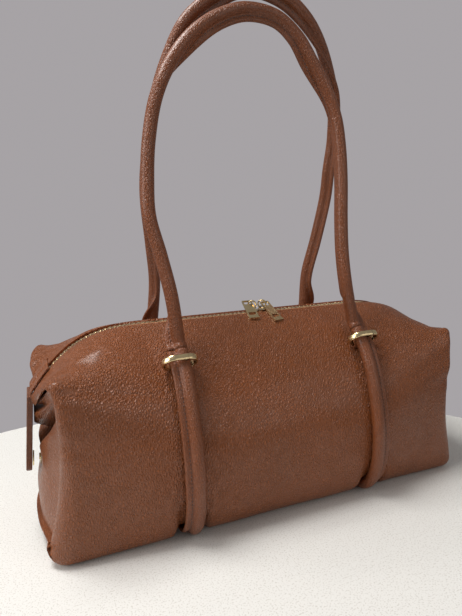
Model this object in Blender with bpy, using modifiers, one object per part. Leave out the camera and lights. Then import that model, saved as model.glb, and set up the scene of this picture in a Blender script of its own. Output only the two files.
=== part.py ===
"""A zipped shoulder bag in pebbled leather: a soft duffle body with folded ears at its ends, and
two rolled handles that pass through metal rings and run on under the base as straps.

Lengths are in metres.  +Z is up, +X runs along the bag and -Y is its front.  The origin lies
on the surface that the bag stands on, below the centre of the bag.
"""
import math

import bmesh
import bpy
import numpy
from mathutils import Matrix, Vector

# Body, measured on the outside of the leather
BASE_LENGTH = 0.360
BELLY_DEPTH = 0.149
END_DEPTH = 0.130
CROWN_HEIGHT = 0.1432
EAR_HEIGHT = 0.1212
LEATHER = 0.0018
LINING = 0.0008
EAR_EDGE_RADIUS = 0.0045
END_EDGE_RADIUS = 0.0130
FOLD_DEPTH = 0.018
FOLD_HALF_HEIGHT = 0.013
FOLD_HALF_HEIGHT_AT_EAR = 0.010
FOLD_HEIGHT = 0.073
FOLD_HEIGHT_AT_EAR = 0.121
FOLD_LIP = 0.003
FOLD_FULL = 0.015
END_BULGE = 0.0112
BASE_SAG = 0.0086
STRAP_DENT_START = 0.0095
STRAP_DENT_END = 0.0150
SHOULDER_RISE = 0.0095
REAR_EAR_REACH = 0.0070
REAR_CREST = 0.0006
SEAM_GAP = 0.0004
END_SEAM_GAP = 0.0012
EAR_SEAM_GAP = 0.0036
CORNER_SEAM_GAP = 0.0028
FIT_GAP = 0.0004
LINING_GAP = 0.0016
BASE_BOARD = 0.0020
BOARD_MARGIN = 0.006

# Rolled handles and straps
TUBE_RADIUS = 0.0050
FLANGE_WIDTH = 0.0050
FLANGE_THICKNESS = 0.0030
FOOT_FLAT = 0.0005
STRAP_SPREAD = 0.154
STRAP_GAP = 0.0010
HANDLE_WIDTH = 0.184
FRONT_LOOP_HEIGHT = 0.256
REAR_LOOP_HEIGHT = 0.277
HANDLE_LEAN = math.radians(9.5)
LEG_BEND_LENGTH = 0.008
PATH_SPACING = 0.0125

# Handle rings and the leather loops that hold them
RING_WALL = 0.0022
RING_BAND = 0.0044
RING_SIDE_PLAY = 0.0040
RING_FRONT_PLAY = 0.0014
RING_TO_FOLD = 0.0090
KEEPER_LEATHER = 0.0012
KEEPER_WIDTH = 0.0120
KEEPER_ROOM = 0.0038

# Zip
ZIP_OPENING = 0.0160
TAPE_THICKNESS = 0.0008
TAPE_GAP = 0.0016
TAPE_FLAT = 0.0006
TEETH_LENGTH = 0.342
TOOTH_PITCH = 0.0038
TOOTH_TAIL = 0.0034
TOOTH_ROOT = 0.0024
TOOTH_OVERLAP = 0.0008
TOOTH_HEIGHT = 0.0022
TOOTH_GAP = 0.0004
ZIP_SUNK = 0.0010
STOP_LENGTH = 0.0030
SLIDERS_MEET_AT = 0.0065
SLIDER_LENGTH = 0.0088
SLIDER_WIDTH = 0.0092
SLIDER_PLATE = 0.0011
SLIDER_SPACING = 0.0006
SLIDER_PLAY = 0.0003
BRIDGE_HEIGHT = 0.0031
BRIDGE_WIDTH = 0.0014
BRIDGE_WIRE = 0.0008
LINK_RADIUS = 0.0036
LINK_WIRE_RADIUS = 0.0007
LINK_PLAY = 0.0002
LINK_TURN = math.radians(45.0)
LEFT_PIERCE = math.radians(22.0)
RIGHT_PIERCE = math.radians(0.0)
LEFT_PULL_TURN = math.radians(-6.0)
RIGHT_PULL_TURN = math.radians(12.7)
PULL_SIDE_SHIFT = 0.0010
PULL_LENGTH = 0.0248
PULL_WIDTH = 0.0088
PULL_THICKNESS = 0.0012
PULL_FRAME = 0.0012
PULL_SLOT = 0.0042
PULL_WINDOW = 0.0036
PULL_WINDOW_AT = 0.0185
PULL_LIP = 0.0007
PULL_LIP_LENGTH = 0.0014
PULL_CORNER = 0.0007

# Tabs at the ends of the zip
COVER_WIDTH = 0.024
COVER_THICKNESS = 0.0014
TAB_WIDTH = 0.024
TAB_LENGTH = 0.0590
TAB_THICKNESS = 0.0042
TAB_CORNER = 0.0050
TAB_LEAN = math.radians(5.5)
SNAP_DROP = 0.0525
SNAP_RADIUS = 0.0056
SNAP_DISC = 0.0007
SNAP_SOCKET = 0.0010
SNAP_PLAY = 0.0003
STUD_RADIUS = 0.0024
SOCKET_RADIUS = 0.0029

# Outline of half a section at the middle of the bag, from the zip down to the seam under the
# base: shares of half the belly's depth, and of the crown's height
MIDDLE_SHARES = [(0.107, 1.000), (0.290, 0.936), (0.475, 0.862), (0.660, 0.745), (0.828, 0.617),
                 (0.940, 0.480), (0.994, 0.347), (0.994, 0.207), (0.924, 0.084), (0.795, 0.013),
                 (0.640, 0.000)]
# The same outline at the end of the bag: shares of half the end's depth and of the ear's
# height, and then its reach along the bag as a share of half the base's length
END_SHARES = [(0.154, 0.825, 1.018), (0.340, 0.875, 1.003), (0.580, 0.945, 0.980),
              (0.800, 0.996, 0.946), (0.945, 0.935, 0.925), (0.990, 0.750, 0.919),
              (1.000, 0.530, 0.925), (1.005, 0.303, 0.947), (0.992, 0.125, 0.974),
              (0.930, 0.020, 0.990), (0.760, 0.000, 0.985)]
COVER_SHARES = [0.925, 0.945, 0.962, 0.977, 0.990, 1.0]
SHOULDER_START_SHARE = 0.56
ZIP_DIP_START_SHARE = 0.50
SQUARING_START_SHARE = 0.28
ZIP_DIP_POWER = 3.1
SQUARING_POWER = 1.9
LENGTH_SHARES = [0.0, 0.20, 0.33, 0.385, 0.425, 0.48, 0.535, 0.575, 0.63, 0.72, 0.82, 0.92, 1.0]
PANEL_STEPS = [0.0, 0.5, 1.0, 1.7, 2.4, 3.0, 3.7, 4.4, 5.2, 6.0, 7.0, 8.0, 8.6, 9.2]
LINING_SHARES = [0.0, 0.28, 0.54, 0.66, 0.77]
EDGE_TURNS = [math.radians(angle) for angle in (30.0, 60.0, 90.0)]

# Handle loops seen from the front, from the left ring over the top to the right ring: shares
# of half the handle's width and of the loop's height
FRONT_LOOP_SHARES = [(-0.872, 0.15), (-0.93, 0.27), (-0.992, 0.38), (-0.983, 0.48),
                     (-0.945, 0.59), (-0.861, 0.71), (-0.725, 0.81), (-0.54, 0.895), (-0.31, 0.96),
                     (-0.03, 1.0), (0.26, 0.992), (0.465, 0.937), (0.59, 0.866), (0.715, 0.78),
                     (0.798, 0.69), (0.818, 0.59), (0.806, 0.48), (0.774, 0.36), (0.757, 0.25),
                     (0.768, 0.14)]
REAR_LOOP_SHARES = [(-0.80, 0.15), (-0.83, 0.27), (-0.872, 0.42), (-0.845, 0.55), (-0.776, 0.68),
                    (-0.68, 0.78), (-0.54, 0.875), (-0.36, 0.935), (-0.12, 0.985), (0.11, 1.0),
                    (0.36, 0.985), (0.56, 0.95), (0.72, 0.90), (0.86, 0.825), (0.98, 0.72),
                    (1.02, 0.60), (1.005, 0.50), (0.995, 0.40), (0.93, 0.26), (0.86, 0.14)]

# Colours
COGNAC = (0.30, 0.115, 0.055)
COGNAC_EDGE = (0.24, 0.09, 0.045)
LINING_BROWN = (0.09, 0.055, 0.04)
BOARD_GREY = (0.20, 0.19, 0.17)
TAPE_TAN = (0.55, 0.27, 0.12)
PALE_GOLD = (0.83, 0.68, 0.42)

# Worked out from the sizes above
BASE_LIFT = 2 * TUBE_RADIUS + FIT_GAP - FOOT_FLAT
HALF_LENGTH = BASE_LENGTH / 2
STRAP_X = STRAP_SPREAD / 2
LAST_STEP = len(MIDDLE_SHARES) - 1
KEEPER_STACK = 2 * FIT_GAP + 2 * KEEPER_LEATHER + KEEPER_ROOM
RING_STANDOFF = TUBE_RADIUS + KEEPER_STACK
RING_STEP = 2.55
ZIP_TAPE_SHARE = 0.98
BOARD_LENGTH_SHARE = 0.76
END_LINING_SHARE = 0.768
BULGE_HEIGHT_SHARE = 0.84
FLAP_SHARES = (0.44, 0.62)
END_ROW_SHARES = [0.0, 0.1, 0.2, 0.3, 0.4, 0.46, 0.52, 0.57, 0.62, 0.67, 0.73, 0.79, 0.85, 0.90, 0.95, 1.0]
NOSE_WIDTH_SHARE = 0.78
SHOULDER_SHARE = 0.24
TURN_IN_SHARE = 0.12
TURN_OVER_SHARES = (0.72, 0.98)
TAIL_TAPER_SHARE = 0.15
TAIL_WIDTH_SHARE = 0.94
BRIDGE_LENGTH_SHARE = 0.80
TAPE_STEP = 0.36
LINING_START_STEP = 0.62
END_CORNER_STEP = 9.0
EAR_TIP_STEP = 3.0
EAR_GAP_STEPS = (3.0, 4.4)
CORNER_GAP_STEPS = (7.0, 8.6)
SOFT_EDGE_STEPS = (4.6, 7.0)
SAG_STEPS = (5.5, 8.5)
CREST_STEPS = (0.0, 1.5)
CROWN_STEPS = (0.0, 3.2)
SHOULDER_STEPS = (0.0, 3.6)
REAR_EAR_STEPS = (0.8, 4.6)
STRAP_CLOSE_STEP = 4.95
STRAP_STEPS = [3.2, 4.0, 5.0, 6.0, 7.0, 7.8, 8.4, 9.0, 9.5]
UNDER_SHARE = 0.30


def remove_old_objects():
    for thing in list(bpy.data.objects):
        bpy.data.objects.remove(thing, do_unlink=True)


def new_collection(name):
    group = bpy.data.collections.new(name)
    bpy.context.scene.collection.children.link(group)
    return group


def principled(name, colour, roughness, metallic=0.0):
    material = bpy.data.materials.new(name)
    material.use_nodes = True
    shader = material.node_tree.nodes["Principled BSDF"]
    shader.inputs["Base Color"].default_value = (*colour, 1.0)
    shader.inputs["Roughness"].default_value = roughness
    shader.inputs["Metallic"].default_value = metallic
    material.diffuse_color = (*colour, 1.0)
    return material


def lerp(low, high, share):
    return low + (high - low) * share


def eased(value, low, high):
    """0 below low, 1 above high, and a smooth step between."""
    share = min(max((value - low) / (high - low), 0.0), 1.0)
    return share * share * (3.0 - 2.0 * share)


def swelling(value, low, high):
    """A round rise from 0 at low to 1 half way and back to 0 at high."""
    share = min(max((value - low) / (high - low), 0.0), 1.0)
    return math.sin(math.pi * share)


def read_smooth(rows, position):
    """The value of a table between its rows, on a smooth curve through them."""
    index = min(max(int(math.floor(position)), 0), len(rows) - 2)
    share = position - index
    before = rows[max(index - 1, 0)]
    start, end = rows[index], rows[index + 1]
    after = rows[min(index + 2, len(rows) - 1)]
    values = []
    for a, b, c, d in zip(before, start, end, after):
        slope_in = (c - a) / 2.0
        slope_out = (d - b) / 2.0
        values.append((2 * share ** 3 - 3 * share ** 2 + 1) * b
                      + (share ** 3 - 2 * share ** 2 + share) * slope_in
                      + (3 * share ** 2 - 2 * share ** 3) * c
                      + (share ** 3 - share ** 2) * slope_out)
    return values


def edge_radius(step):
    """Radius of a panel's turn in round the end: tight on the ear and soft below it."""
    return lerp(EAR_EDGE_RADIUS, END_EDGE_RADIUS, eased(step, *SOFT_EDGE_STEPS))


def panel_reach(step):
    """How far a panel runs along the bag before it turns in round the end."""
    return read_smooth(END_SHARES, step)[2] * HALF_LENGTH - edge_radius(step)


def sag(along, step):
    """How far the leather hangs down below the level of the straps' dents in it."""
    beside_strap = abs(abs(along) * panel_reach(step) - STRAP_X - FLANGE_WIDTH / 2)
    return BASE_SAG * eased(beside_strap, STRAP_DENT_START, STRAP_DENT_END) * eased(step, *SAG_STEPS)


def skin(side, along, step):
    """A point of the body's outer surface, with side -1 at the front and 1 at the rear.

    along runs from -1 to 1 between the ends, and step from 0 at the zip to LAST_STEP at the
    seam under the base."""
    middle_depth, middle_height = read_smooth(MIDDLE_SHARES, step)
    end_depth, end_height, end_reach = read_smooth(END_SHARES, step)
    crown = 1.0 - eased(step, *CROWN_STEPS)
    start = lerp(SQUARING_START_SHARE, ZIP_DIP_START_SHARE, crown)
    power = lerp(SQUARING_POWER, ZIP_DIP_POWER, crown)
    squared = max((abs(along) - start) / (1.0 - start), 0.0) ** power
    depth = lerp(middle_depth * BELLY_DEPTH / 2, end_depth * END_DEPTH / 2, squared)
    height = lerp(middle_height * CROWN_HEIGHT, end_height * EAR_HEIGHT, squared)
    height += SHOULDER_RISE * swelling(abs(along), SHOULDER_START_SHARE, 1.0) * swelling(step, *SHOULDER_STEPS)
    height += side * REAR_CREST * (1.0 - eased(step, *CREST_STEPS))
    height -= sag(along, step)
    reach = panel_reach(step)
    if side > 0:
        reach += REAR_EAR_REACH * swelling(step, *REAR_EAR_STEPS)
    return Vector((along * reach, side * depth, BASE_LIFT + height))


def skin_frame(side, along, step):
    """The outward normal of the skin, and its direction towards the nearer end."""
    nudge = 0.01
    towards = 1.0 if along >= 0 else -1.0
    lengthwise = skin(side, along, step) - skin(side, along - towards * nudge, step)
    low = max(step - nudge, 0.0)
    high = min(step + nudge, LAST_STEP)
    downwards = skin(side, along, high) - skin(side, along, low)
    normal = downwards.cross(lengthwise) * -side * towards
    return normal.normalized(), lengthwise.normalized()


def zip_edge(along, depth):
    """A point over the zip, at a distance across it from the middle."""
    edge = (skin(-1, along, 0.0) + skin(1, along, 0.0)) / 2
    return Vector((edge.x, depth, edge.z))


def lengthwise_stations():
    """Places along the bag from end to end, as pairs of a share and an angle of the rolled edge."""
    half = [(share, 0.0) for share in LENGTH_SHARES]
    roll = [(1.0, angle) for angle in EDGE_TURNS]
    right = half + roll
    left = [(-share, angle) for share, angle in reversed(right) if share > 0]
    return left + right


def rolled_skin(side, along, angle, step, inset=0.0):
    """The skin, with its edge rolled inwards round the end by the angle."""
    normal, outward = skin_frame(side, along, step)
    radius = edge_radius(step) - inset
    point = skin(side, along, step)
    point += outward * radius * math.sin(angle)
    point -= normal * radius * (1.0 - math.cos(angle))
    return point - normal * inset


def level_skin(side, along, step, inset=0.0):
    """The skin at an inset, without its sag, for what lies inside the bag."""
    return rolled_skin(side, along, 0.0, step, inset) + Vector((0, 0, sag(along, step)))


def grid_mesh(name, rows):
    """An open sheet through rows of points."""
    shape = bmesh.new()
    lines = [[shape.verts.new(point) for point in row] for row in rows]
    for line, following in zip(lines, lines[1:]):
        for index in range(len(line) - 1):
            shape.faces.new((line[index], line[index + 1], following[index + 1], following[index]))
    mesh = bpy.data.meshes.new(name)
    shape.to_mesh(mesh)
    shape.free()
    return mesh


def add_object(name, mesh, material, group, origin=None):
    part = bpy.data.objects.new(name, mesh)
    if origin is not None:
        part.location = origin
        mesh.transform(Matrix.Translation(-Vector(origin)))
    mesh.materials.clear()
    mesh.materials.append(material)
    group.objects.link(part)
    return part


def solidified(name, rows, thickness, material, group):
    """A sheet given a wall inwards from its outer face, the one that looks away from the bag."""
    mesh = grid_mesh(name, rows)
    centre = Vector((0, 0, CROWN_HEIGHT / 2))
    facing = sum((face.center - centre).dot(face.normal) * face.area for face in mesh.polygons)
    if facing < 0:
        mesh.flip_normals()
    mesh.shade_smooth()
    part = add_object(name, mesh, material, group)
    wall = part.modifiers.new("wall", "SOLIDIFY")
    wall.thickness = thickness
    wall.offset = -1.0
    return part


def steps_between(low, high, count):
    return [lerp(low, high, index / count) for index in range(count + 1)]


def body_panel(name, side, material, group):
    """The front or the rear panel, from the zip round the belly to the seam under the base."""
    steps = PANEL_STEPS + [LAST_STEP - SEAM_GAP / BELLY_DEPTH]
    rows = [[rolled_skin(side, along, angle, step) for step in steps]
            for along, angle in lengthwise_stations()]
    return solidified(name, rows, LEATHER, material, group)


def base_panel(material, group):
    """The leather under the base, between the two panels' seams."""
    rows = []
    for along, angle in lengthwise_stations():
        front = rolled_skin(-1, along, angle, LAST_STEP)
        rear = rolled_skin(1, along, angle, LAST_STEP)
        width = (rear - front).length
        margin = SEAM_GAP / width
        rows.append([front.lerp(rear, share) for share in (margin, 0.5, 1.0 - margin)])
    return solidified("base_panel", rows, LEATHER, material, group)


def end_edge(hand, step):
    """A point just inside the front panel's turned-in edge, where the end panel is sewn on."""
    index = max(i for i, panel_step in enumerate(PANEL_STEPS[:-1]) if panel_step <= step)
    ends = []
    for panel_step in PANEL_STEPS[index:index + 2]:
        normal = skin_frame(-1, hand, panel_step)[0]
        gap = lerp(EAR_SEAM_GAP, END_SEAM_GAP, eased(panel_step, *EAR_GAP_STEPS))
        gap = lerp(gap, CORNER_SEAM_GAP, eased(panel_step, *CORNER_GAP_STEPS))
        ends.append(rolled_skin(-1, hand, math.pi / 2, panel_step) - normal * gap)
    share = (step - PANEL_STEPS[index]) / (PANEL_STEPS[index + 1] - PANEL_STEPS[index])
    return ends[0].lerp(ends[1], share)


def fold_in(across, height, top):
    """How far the end panel is pushed in at a height, in the fold that rises from behind the tab
    to both ears."""
    middle = lerp(FOLD_HEIGHT, FOLD_HEIGHT_AT_EAR, abs(across))
    half = lerp(FOLD_HALF_HEIGHT, FOLD_HALF_HEIGHT_AT_EAR, abs(across))
    away = min(abs(height - middle) / half, 1.0)
    return FOLD_DEPTH * (1.0 - across ** 4) * (1.0 - away ** 2) ** 2 * eased(top - height, FOLD_LIP, FOLD_FULL)


def end_rows(hand):
    """Rows of the end panel, from the base up to the edges between the ears and the zip."""
    lowest = skin(-1, hand, LAST_STEP).z + edge_radius(LAST_STEP) + CORNER_SEAM_GAP
    top_edge = [end_edge(hand, step) for step in PANEL_STEPS if step <= EAR_TIP_STEP]
    tip = top_edge[-1]
    columns = [(point.y / tip.y, point) for point in top_edge]
    columns = [(-share, point) for share, point in reversed(columns)] + [(0.0, top_edge[0])] + columns
    rows = []
    for height_share in END_ROW_SHARES:
        edge = end_edge(hand, lerp(END_CORNER_STEP, EAR_TIP_STEP, height_share))
        points = []
        for across, top in columns:
            z = max(edge.z, lowest) + (top.z - tip.z) * height_share ** 2
            fullness = (1.0 - across ** 2) ** 1.5 * swelling(z, 0.0, EAR_HEIGHT * BULGE_HEIGHT_SHARE)
            x = abs(edge.x) + (abs(top.x) - abs(tip.x)) * eased(height_share, *FLAP_SHARES)
            x += END_BULGE * fullness - fold_in(across, z, top.z)
            points.append(Vector((hand * x, -edge.y * across, z)))
        rows.append(points)
    return rows


def end_panel(name, hand, material, group):
    return solidified(name, end_rows(hand), LEATHER, material, group)


def lining_steps():
    return steps_between(LINING_START_STEP, LAST_STEP, 9)


def lining_wrap(material, group):
    """The lining behind the two panels and the base, in one wrap from zip tape to zip tape."""
    inset = LEATHER + LINING_GAP
    steps = lining_steps()
    rows = []
    for along in [-share for share in reversed(LINING_SHARES[1:])] + LINING_SHARES:
        front = [level_skin(-1, along, step, inset) for step in steps]
        rear = [level_skin(1, along, step, inset) for step in reversed(steps)]
        rows.append(front + rear)
    return solidified("lining", rows, LINING, material, group)


def end_lining(name, hand, material, group):
    """The end wall of the lining, inside the folded end of the bag."""
    along = hand * END_LINING_SHARE
    inset = LEATHER + LINING_GAP + 2 * LINING + FIT_GAP
    rows = []
    for step in lining_steps()[1:]:
        front = level_skin(-1, along, step, inset)
        rear = level_skin(1, along, step, inset)
        rows.append([front.lerp(rear, share) for share in steps_between(0.0, 1.0, 4)])
    return solidified(name, rows, LINING, material, group)


def base_board(material, group):
    """The board that lies on the lining and spreads the load over the base."""
    height = LEATHER + LINING_GAP + LINING + FIT_GAP
    rows = []
    for along in steps_between(-BOARD_LENGTH_SHARE, BOARD_LENGTH_SHARE, 8):
        front = level_skin(-1, along, LAST_STEP)
        rear = level_skin(1, along, LAST_STEP)
        margin = BOARD_MARGIN / (rear - front).length
        rows.append([front.lerp(rear, share) + Vector((0, 0, height))
                     for share in (margin, 1.0 - margin)])
    return solidified("base_board", rows, BASE_BOARD, material, group)


def box_mesh(name, low, high):
    shape = bmesh.new()
    bmesh.ops.create_cube(shape, size=1.0)
    low, high = Vector(low), Vector(high)
    for vertex in shape.verts:
        share = vertex.co + Vector((0.5, 0.5, 0.5))
        vertex.co = Vector(lerp(low[i], high[i], share[i]) for i in range(3))
    mesh = bpy.data.meshes.new(name)
    shape.to_mesh(mesh)
    shape.free()
    return mesh


def rounded_edges(part, width, segments, angle=math.radians(40.0)):
    bevel = part.modifiers.new("edges", "BEVEL")
    bevel.width = width
    bevel.segments = segments
    bevel.limit_method = "ANGLE"
    bevel.angle_limit = angle
    return bevel


def strap_offset(step):
    """How far the strap's middle stands off the skin: close below, and clear of the ring's
    leather loop above."""
    close = TUBE_RADIUS + STRAP_GAP
    return lerp(RING_STANDOFF, close, eased(step, RING_STEP, STRAP_CLOSE_STEP))


def strap_along(step):
    return STRAP_X / panel_reach(step)


def beside_skin(side, step, distance):
    """A point off the skin at the strap, in the strap's own plane."""
    normal = skin_frame(side, strap_along(step), step)[0]
    flat = Vector((0.0, normal.y, normal.z)).normalized()
    point = skin(side, strap_along(step), step)
    return Vector((0.0, point.y, point.z)) + flat * distance


def ring_frame(side):
    """The middle of a handle ring, the direction of the tube through it and the outward one."""
    middle = beside_skin(side, RING_STEP, strap_offset(RING_STEP))
    below = beside_skin(side, RING_STEP + 0.1, strap_offset(RING_STEP + 0.1))
    upward = (middle - below).normalized()
    outward = Vector((0.0, -upward.z, upward.y)) * -side
    return middle, upward, outward.normalized()


def fold_point(side):
    """The middle of the tube where the handle folds over its ring, and the fold's axis, which
    runs along the front of the tube."""
    middle, upward, outward = ring_frame(side)
    tube_end = middle + upward * RING_TO_FOLD
    return tube_end, tube_end + outward * TUBE_RADIUS


def smooth_path(points, spacing):
    """Points at an even spacing along a smooth curve through the given ones."""
    rows = [tuple(point) for point in points]
    fine = [Vector(read_smooth(rows, index / 12)) for index in range((len(rows) - 1) * 12 + 1)]
    distances = [0.0]
    for start, end in zip(fine, fine[1:]):
        distances.append(distances[-1] + (end - start).length)
    count = max(round(distances[-1] / spacing), 2)
    path = []
    index = 0
    for step in range(count + 1):
        wanted = distances[-1] * step / count
        while index < len(fine) - 2 and distances[index + 1] < wanted:
            index += 1
        span = distances[index + 1] - distances[index]
        path.append(fine[index].lerp(fine[index + 1], (wanted - distances[index]) / span))
    return path


def rolled_section():
    """The section of a rolled handle: a round tube with its two edges sewn into a flat flange.
    Points are pairs along the flange's direction and across it."""
    half = FLANGE_THICKNESS / 2
    opening = math.asin(half / TUBE_RADIUS)
    round_count = 8
    points = []
    for index in range(round_count + 1):
        angle = lerp(opening, 2 * math.pi - opening, index / round_count)
        points.append((math.cos(angle) * TUBE_RADIUS, math.sin(angle) * TUBE_RADIUS))
    reach = TUBE_RADIUS + FLANGE_WIDTH
    points.append((reach, -half))
    points.append((reach, half))
    return points


def swept(name, path, end_ways, flange_directions, material, group, origin=None):
    """A rolled handle along a path, square to the given ways at its ends: its section is carried
    along and turned so that the flange points the given way."""
    shape = bmesh.new()
    rings = []
    for index, point in enumerate(path):
        ahead = path[min(index + 1, len(path) - 1)] - path[max(index - 1, 0)]
        tangent = ahead.normalized()
        if index == 0:
            tangent = end_ways[0]
        if index == len(path) - 1:
            tangent = end_ways[1]
        flange_way = flange_directions[index]
        flange_way = (flange_way - tangent * flange_way.dot(tangent)).normalized()
        across = tangent.cross(flange_way)
        ring = [shape.verts.new(point + flange_way * out + across * over)
                for out, over in rolled_section()]
        rings.append(ring)
    for ring, following in zip(rings, rings[1:]):
        for index in range(len(ring)):
            after = (index + 1) % len(ring)
            shape.faces.new((ring[index], ring[after], following[after], following[index]))
    shape.faces.new(rings[0])
    shape.faces.new(rings[-1])
    bmesh.ops.recalc_face_normals(shape, faces=shape.faces)
    mesh = bpy.data.meshes.new(name)
    shape.to_mesh(mesh)
    shape.free()
    mesh.shade_smooth()
    mesh.set_sharp_from_angle(angle=math.radians(50.0))
    return add_object(name, mesh, material, group, origin)


def strap_path():
    """From the front ring down the panel, under the base and up to the rear ring."""
    middle, upward, outward = ring_frame(-1)
    top = middle + upward * (RING_TO_FOLD - FIT_GAP)
    front = [top, middle]
    for step in STRAP_STEPS:
        front.append(beside_skin(-1, step, strap_offset(step)))
    floor = BASE_LIFT - FIT_GAP - TUBE_RADIUS
    front.append(Vector((0.0, -BELLY_DEPTH * UNDER_SHARE, floor)))
    for point in front:
        point.z = max(point.z, floor)
    rear = [Vector((0.0, -point.y, point.z)) for point in reversed(front)]
    return smooth_path(front + rear, PATH_SPACING)


def strap(name, hand, material, group, cutters):
    path = [point + Vector((hand * STRAP_X, 0, 0)) for point in strap_path()]
    ways = [Vector((hand, 0, 0))] * len(path)
    upward = ring_frame(-1)[1]
    end_ways = (-upward, Vector((0.0, -upward.y, upward.z)))
    part = swept(name, path, end_ways, ways, material, group)
    floor_cut = box_mesh(name + "_floor", (-HALF_LENGTH, -BELLY_DEPTH, -TUBE_RADIUS),
                         (HALF_LENGTH, BELLY_DEPTH, 0.0))
    boolean(part, cutter_object(name + "_floor", floor_cut, cutters), "DIFFERENCE")
    return part


def handle(name, side, loop_shares, height, material, group):
    """One rolled handle loop, standing up from its two rings and leaning in over the zip."""
    tube_end, fold_axis = fold_point(side)
    middle, upward, outward = ring_frame(side)
    start = tube_end + upward * FIT_GAP
    bend = start + upward * LEG_BEND_LENGTH
    lean = Vector((0.0, -side * math.sin(HANDLE_LEAN), math.cos(HANDLE_LEAN)))
    half_width = HANDLE_WIDTH / 2
    points = [start + Vector((-STRAP_X, 0, 0)), bend + Vector((-STRAP_X, 0, 0))]
    for across, up in loop_shares:
        points.append(start + lean * up * height + Vector((across * half_width, 0, 0)))
    points += [bend + Vector((STRAP_X, 0, 0)), start + Vector((STRAP_X, 0, 0))]
    path = smooth_path(points, PATH_SPACING)
    back = Vector((0.0, -side * math.cos(HANDLE_LEAN), -math.sin(HANDLE_LEAN)))
    ways = []
    for index, point in enumerate(path):
        ahead = path[min(index + 1, len(path) - 1)] - path[max(index - 1, 0)]
        outwards = ahead.normalized().cross(back).normalized() * -side
        height_share = (point - start).dot(lean) / height
        turn = math.pi / 2 * (eased(height_share, 0.0, TURN_IN_SHARE) + eased(height_share, *TURN_OVER_SHARES))
        ways.append(outwards * math.cos(turn) + back * math.sin(turn))
    origin = Vector((0.0, fold_axis.y, fold_axis.z))
    return swept(name, path, (upward, -upward), ways, material, group, origin)


def outline_mesh(name, outlines, thickness):
    """A flat piece from closed outlines of points, the first its edge and the rest its holes.
    It lies across Z with half its thickness on each side."""
    curve = bpy.data.curves.new(name, "CURVE")
    curve.dimensions = "2D"
    curve.fill_mode = "BOTH"
    curve.extrude = thickness / 2
    for outline in outlines:
        spline = curve.splines.new("POLY")
        spline.points.add(len(outline) - 1)
        for point, (x, y) in zip(spline.points, outline):
            point.co = (x, y, 0.0, 1.0)
        spline.use_cyclic_u = True
    holder = bpy.data.objects.new(name, curve)
    bpy.context.scene.collection.objects.link(holder)
    bpy.context.view_layer.update()
    evaluated = holder.evaluated_get(bpy.context.evaluated_depsgraph_get())
    mesh = bpy.data.meshes.new_from_object(evaluated)
    bpy.data.objects.remove(holder, do_unlink=True)
    bpy.data.curves.remove(curve)
    shape = bmesh.new()
    shape.from_mesh(mesh)
    bmesh.ops.remove_doubles(shape, verts=shape.verts, dist=0.00001)
    bmesh.ops.recalc_face_normals(shape, faces=shape.faces)
    shape.to_mesh(mesh)
    shape.free()
    mesh.name = name
    return mesh


def rounded_rectangle(width, depth, radius, corner_count=3):
    points = []
    for turn, (sign_x, sign_y) in enumerate(((1, 1), (-1, 1), (-1, -1), (1, -1))):
        for index in range(corner_count + 1):
            angle = math.pi / 2 * (turn + index / corner_count)
            points.append((sign_x * (width / 2 - radius) + radius * math.cos(angle),
                           sign_y * (depth / 2 - radius) + radius * math.sin(angle)))
    return points


def placed(mesh, x_way, y_way, z_way, at):
    """Turns a mesh so that its own axes lie along the given ways, and moves it."""
    matrix = Matrix((x_way, y_way, z_way)).transposed().to_4x4()
    matrix.translation = at
    mesh.transform(matrix)
    if matrix.determinant() < 0:
        mesh.flip_normals()
    return mesh


def ring_places():
    for end_name, side in (("front", -1), ("rear", 1)):
        for hand_name, hand in (("left", -1), ("right", 1)):
            yield end_name + "_" + hand_name, side, hand


def keeper_middle(side):
    """The middle of the room inside a keeper, where the ring's back bar lies."""
    middle, upward, outward = ring_frame(side)
    inward = TUBE_RADIUS + FIT_GAP + KEEPER_LEATHER + KEEPER_ROOM / 2
    return middle - outward * inward


def handle_ring(name, side, hand, material, group):
    """A flat oval band round the tube and its flange, with its back bar in the keeper."""
    middle, upward, outward = ring_frame(side)
    bar = keeper_middle(side)
    bar_distance = (middle - bar).length
    inner_front = TUBE_RADIUS + RING_FRONT_PLAY
    inner_back = bar_distance - RING_WALL / 2
    depth = inner_front + inner_back
    width = 2 * TUBE_RADIUS + FLANGE_WIDTH + 2 * RING_SIDE_PLAY
    across = middle + outward * (inner_front - inner_back) / 2
    centre = across + Vector((hand * (STRAP_X + FLANGE_WIDTH / 2), 0, 0))
    outer = rounded_rectangle(width + 2 * RING_WALL, depth + 2 * RING_WALL, depth / 2 + RING_WALL, 4)
    inner = rounded_rectangle(width, depth, depth / 2, 4)
    mesh = outline_mesh(name, [outer, inner], RING_BAND)
    placed(mesh, Vector((1, 0, 0)), outward, upward, centre)
    mesh.shade_smooth()
    mesh.set_sharp_from_angle(angle=math.radians(40.0))
    return add_object(name, mesh, material, group, bar)


def ring_keeper(name, side, hand, material, group):
    """The leather loop on the panel that holds a ring by its back bar."""
    middle, upward, outward = ring_frame(side)
    height = RING_BAND + 2 * FIT_GAP + RING_BAND / 4
    outer = rounded_rectangle(height + 2 * KEEPER_LEATHER, KEEPER_ROOM + 2 * KEEPER_LEATHER,
                              KEEPER_ROOM / 2, 2)
    inner = rounded_rectangle(height, KEEPER_ROOM, KEEPER_ROOM / 4, 1)
    mesh = outline_mesh(name, [outer, inner], KEEPER_WIDTH)
    centre = keeper_middle(side) + Vector((hand * (STRAP_X + FLANGE_WIDTH / 2), 0, 0))
    placed(mesh, upward, outward, Vector((1, 0, 0)), centre)
    return add_object(name, mesh, material, group)


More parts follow.
